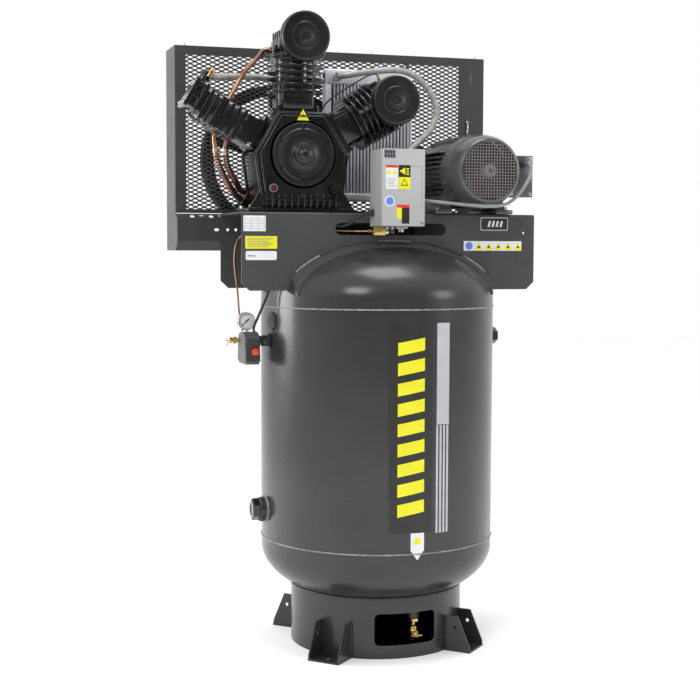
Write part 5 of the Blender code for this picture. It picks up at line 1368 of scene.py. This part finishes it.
def build_pilot_line():
    """A thin copper tube from the pressure switch to a brass block under the starter."""
    pilot = [(-0.456, -0.006, SWITCH_Z[1] + 0.0006), (-0.456, -0.006, 1.045), (-0.4655, -0.006, 1.085),
        (-0.4725, -0.008, 1.165), (-0.481, -0.008, 1.241), (-0.4785, -0.008, 1.29),
        (-0.468, -0.01, 1.322), (-0.454, -0.02, 1.334), (-0.42, -0.045, 1.344), (-0.34, -0.11, 1.352),
        (-0.24, -0.138, 1.35), (-0.16, -0.1415, 1.348), (-0.12, -0.146, 1.347), (-0.095, -0.162, 1.347),
        (-0.07, -0.172, 1.347)]
    piece("pilot_line", pipe(pilot, 0.003, 14, 8), "copper", stands_for="pilot_tube")
    block = [soft_box((-0.0738, -0.0342), (-0.1878, -0.1602), (1.3342, 1.3608), 0.002),
        turned([(0, -0.088), (0.0058, -0.088), (0.0062, -0.087), (0.0062, -0.075), (0.0058, -0.074),
        (0, -0.074)], 6, "X", (0, -0.17, 1.347))]
    piece("pilot_block", together(*block), "brass", edge=0.0003)


def build_cables():
    """The pressure switch's cable and the motor's cable, both to the starter."""
    feed = [(-0.43, -0.06, SWITCH_Z[1] + 0.0006), (-0.43, -0.06, 1.045), (-0.412, -0.074, 1.095),
        (-0.393, -0.096, 1.155), (-0.383, -0.1, 1.215), (-0.36, -0.096, 1.29), (-0.318, -0.098, 1.348),
        (-0.27, -0.108, 1.366), (-0.23, -0.12, 1.366), (-0.19, -0.134, 1.364), (-0.163, -0.15, 1.3625),
        (-0.14, -0.17, 1.374), (-0.112, -0.186, 1.397), (-0.096, -0.19, 1.404),
        (BOX_X[0] - 0.0006, *SWITCH_GLAND)]
    piece("switch_lead", pipe(feed, 0.0041, 16, 8), "rubber", stands_for="switch_cable")
    supply = [(BOX_X[1] + 0.0006, *MOTOR_GLAND), (0.09, -0.215, 1.443), (0.14, -0.25, 1.437),
        (0.2, -0.284, 1.43), (0.27, -0.296, 1.426), (0.335, -0.28, 1.434), (0.39, -0.244, 1.462),
        (0.434, -0.212, 1.502), (0.46, -0.192, 1.54), (0.462, -0.178, 1.566), (0.462, -0.166, 1.572),
        (0.462, -0.1506, 1.572)]
    piece("motor_lead", pipe(supply, 0.0053, 20, 10), "grey_plastic", stands_for="motor_cable")


def build_starter():
    """The starter's case, its door and what is mounted on them."""
    wall = 0.0024
    shell = box(BOX_X, (BOX_FRONT, BOX_BACK), BOX_Z)
    room = box((BOX_X[0] + wall, BOX_X[1] - wall), (BOX_FRONT - 0.01, BOX_BACK - wall),
        (BOX_Z[0] + wall, BOX_Z[1] - wall))
    piece("starter_case", cut(shell, room), "box_paint", stands_for="starter_box", edge=0.0012)
    contactor = [soft_box((-0.045, 0.042), (BOX_BACK - 0.0698, BOX_BACK - 0.002), (1.4402, 1.5598),
        0.003)]
    contactor += [soft_box((-0.037 + 0.026 * k, -0.019 + 0.026 * k), (BOX_BACK - 0.0699, BOX_BACK - 0.06),
        (z, z + 0.018), 0.002) for k in range(3) for z in (1.4425, 1.5385)]
    piece("contactor", together(*contactor), "black_plastic")
    back, front = BOX_FRONT - 0.0005, BOX_FRONT - 0.0133
    pan = soft_box(BOX_X, (front, back), BOX_Z, 0.0025, 3)
    piece("starter_lid", pan, "box_paint", "door", "starter_door")
    # Painted shade: thin darker grey strips along the lid's step, for the shade line of the step.
    groove = [box((0.013, 0.054), (front - 0.0004, front + 0.001), (1.5472, 1.5484)),
        box((0.0528, 0.054), (front - 0.0004, front + 0.001), (1.42, 1.5484))]
    piece("starter_lid_step_shade", together(*groove), "decal_grey", "door")
    screw = rod(0.004, front - 0.0015, front + 0.001, "Y", (0.055, 0, 1.372), 24, 0.0006)
    piece("starter_screw", screw, "steel", "door")
    connector = [rod(0.0125, 1.3535, 1.3612, "Z", (0.016, -0.186, 0), 6),
        rod(0.0095, 1.344, 1.354, "Z", (0.016, -0.186, 0), 24, 0.001),
        soft_box((-0.004, 0.036), (-0.196, -0.176), (1.356, 1.3615), 0.001)]
    piece("starter_connector", together(*connector), "steel")
    glands = []
    for side, centre in ((1, (BOX_X[1], *MOTOR_GLAND)), (-1, (BOX_X[0], *SWITCH_GLAND))):
        for radius, low, high, sides in ((0.0125, 0.0006, 0.007, 6), (0.0095, 0.006, 0.017, 24)):
            ends = sorted((centre[0] + side * low, centre[0] + side * high))
            glands.append(rod(radius, *ends, "X", (0, *centre[1:]), sides, 0.0008))
    piece("starter_glands", together(*glands), "black_plastic")
    build_starter_labels(front)


def build_starter_labels(y):
    """The stickers on the starter's door."""
    def sticker(name, x, z, look, lift=0.0005):
        flat_label(name, x, z, look, y, lift, 0.0008, "door")

    sticker("sticker_dark", (-0.071, -0.034), (1.571, 1.597), "decal_grey")
    tiles = [box((-0.068 + 0.0088 * (k % 4), -0.0625 + 0.0088 * (k % 4)), (y - PRINT, y),
        (1.574 + 0.0115 * (k // 4), 1.5822 + 0.0115 * (k // 4))) for k in range(8)]
    piece("sticker_tiles", together(*tiles), "decal_black", "door")
    sticker("sticker_red", (-0.065, -0.026), (1.5415, 1.549), "decal_red")
    sticker("sticker_white", (-0.065, -0.026), (1.476, 1.5415), "decal_white")
    signs = [prism(triangle(x, 1.529, 0.0085), y - PRINT, y, "Y") for x in (-0.0555, -0.036)]
    piece("sticker_signs", together(*signs), "decal_yellow", "door")
    piece("sticker_rules", ruled_lines((-0.061, -0.031), (1.482, 1.51), 4, y), "decal_silver", "door")
    sticker("sticker_black", (-0.0235, 0.015), (1.513, 1.55), "decal_black")
    sticker("sticker_yellow", (-0.0235, 0.015), (1.476, 1.513), "decal_yellow")
    arrow = prism([(-0.0205, 1.5315), (-0.002, 1.543), (-0.002, 1.52)], y - PRINT, y, "Y")
    bars = [box((0.002, 0.01), (y - PRINT, y), (1.52 + 0.008 * k, 1.5245 + 0.008 * k)) for k in range(3)]
    piece("sticker_arrow", together(arrow, *bars), "decal_yellow", "door")
    piece("sticker_warning", prism(triangle(-0.0045, 1.4975, 0.0125), y - PRINT, y, "Y"), "decal_black",
        "door")
    piece("sticker_warning_inner", prism(triangle(-0.0045, 1.497, 0.0088), y - OVERPRINT, y, "Y"),
        "decal_yellow", "door")
    piece("sticker_disc_rim", rod(0.0165, y - 0.0006, y, "Y", (-0.052, 0, 1.439), 48), "decal_white",
        "door")
    piece("sticker_disc", rod(0.0125, y - 0.001, y, "Y", (-0.052, 0, 1.439), 48), "decal_blue", "door")
    sticker("sticker_low_red", (-0.029, 0.0125), (1.419, 1.428), "decal_red")
    sticker("sticker_low_yellow", (-0.029, -0.0125), (1.385, 1.419), "decal_yellow")
    sticker("sticker_low_black", (-0.0125, 0.0125), (1.37, 1.419), "decal_black")


# ---------------------------------------------------------------- stage
def build_floor():
    """A wide pale floor."""
    ground = bpy.data.meshes.new("floor")
    floor = bmesh.new()
    bmesh.ops.create_grid(floor, x_segments=1, y_segments=1, size=14)
    floor.to_mesh(ground)
    floor.free()
    made = bpy.data.objects.new("floor", ground)
    bpy.context.collection.objects.link(made)
    pale = bpy.data.materials.new("floor")
    pale.use_nodes = True
    shader = pale.node_tree.nodes["Principled BSDF"]
    shader.inputs["Base Color"].default_value = (0.96, 0.96, 0.96, 1)
    shader.inputs["Roughness"].default_value = 1.0
    shader.inputs["Specular IOR Level"].default_value = 0.0
    shader.inputs["Emission Color"].default_value = (1, 1, 1, 1)
    shader.inputs["Emission Strength"].default_value = 0.12
    ground.materials.append(pale)


def build_studio():
    """Soft light from all round, brighter from the front and above, and four lamps."""
    world = bpy.data.worlds.new("studio")
    bpy.context.scene.world = world
    world.use_nodes = True
    nodes, links = world.node_tree.nodes, world.node_tree.links
    way = nodes.new("ShaderNodeSeparateXYZ")
    links.new(nodes.new("ShaderNodeTexCoord").outputs["Generated"], way.inputs["Vector"])
    toward = nodes.new("ShaderNodeMath")
    toward.operation = "ADD"
    links.new(way.outputs["Y"], toward.inputs[0])
    links.new(way.outputs["Z"], toward.inputs[1])
    fade = nodes.new("ShaderNodeMapRange")
    for name, value in (("From Min", -0.75), ("From Max", 0.35), ("To Min", 0.12), ("To Max", 1.0)):
        fade.inputs[name].default_value = value
    links.new(toward.outputs[0], fade.inputs["Value"])
    links.new(fade.outputs["Result"], nodes["Background"].inputs["Color"])
    for name, place, size, power in (("key", (-2.6, -3.4, 3.6), 1.6, 70),
            ("fill", (3.4, -3.0, 2.2), 1.4, 36), ("top", (0.2, -0.6, 4.4), 1.6, 50),
            ("rim", (-3.2, 1.6, 1.6), 1.6, 60)):
        light = bpy.data.lights.new(name, "AREA")
        light.shape = "SQUARE"
        light.size = size
        light.energy = power
        lamp = bpy.data.objects.new(name, light)
        lamp.location = place
        lamp.rotation_euler = (Vector((0, 0, 1.1)) - Vector(place)).to_track_quat("-Z", "Y").to_euler()
        bpy.context.collection.objects.link(lamp)


def build_camera():
    """The camera, and the plain view transform."""
    camera = bpy.data.cameras.new("camera")
    camera.lens = 72
    camera.sensor_width = 36
    eye = bpy.data.objects.new("camera", camera)
    eye.location = AXIS + Vector((-1.4712, -4.3766, 1.2936))
    eye.rotation_euler = Euler((radians(85.84), radians(-0.199), radians(-17.475)), "XYZ")
    bpy.context.collection.objects.link(eye)
    bpy.context.scene.camera = eye
    bpy.context.scene.view_settings.view_transform = "Standard"


for build in (repaint_cad, build_floor, build_studio, build_camera, build_tank, build_tank_graphics,
        build_base, build_platform, build_platform_labels, build_plugs, build_drain, build_switch,
        build_gauge, build_relief_valve, build_crankcase, build_case_details, build_cover,
        build_low_pressures, build_high_pressure, build_high_pressure_head, build_filters,
        build_oil_fittings, build_flywheel, build_belt, build_motor, build_motor_cowl, build_rotor,
        build_terminal_box, build_guard, build_guard_mesh, build_cooler, build_discharge_line,
        build_outlet_hose, build_interstage_line, build_intercooler, build_unloader_line,
        build_pilot_line, build_cables, build_starter):
    build()
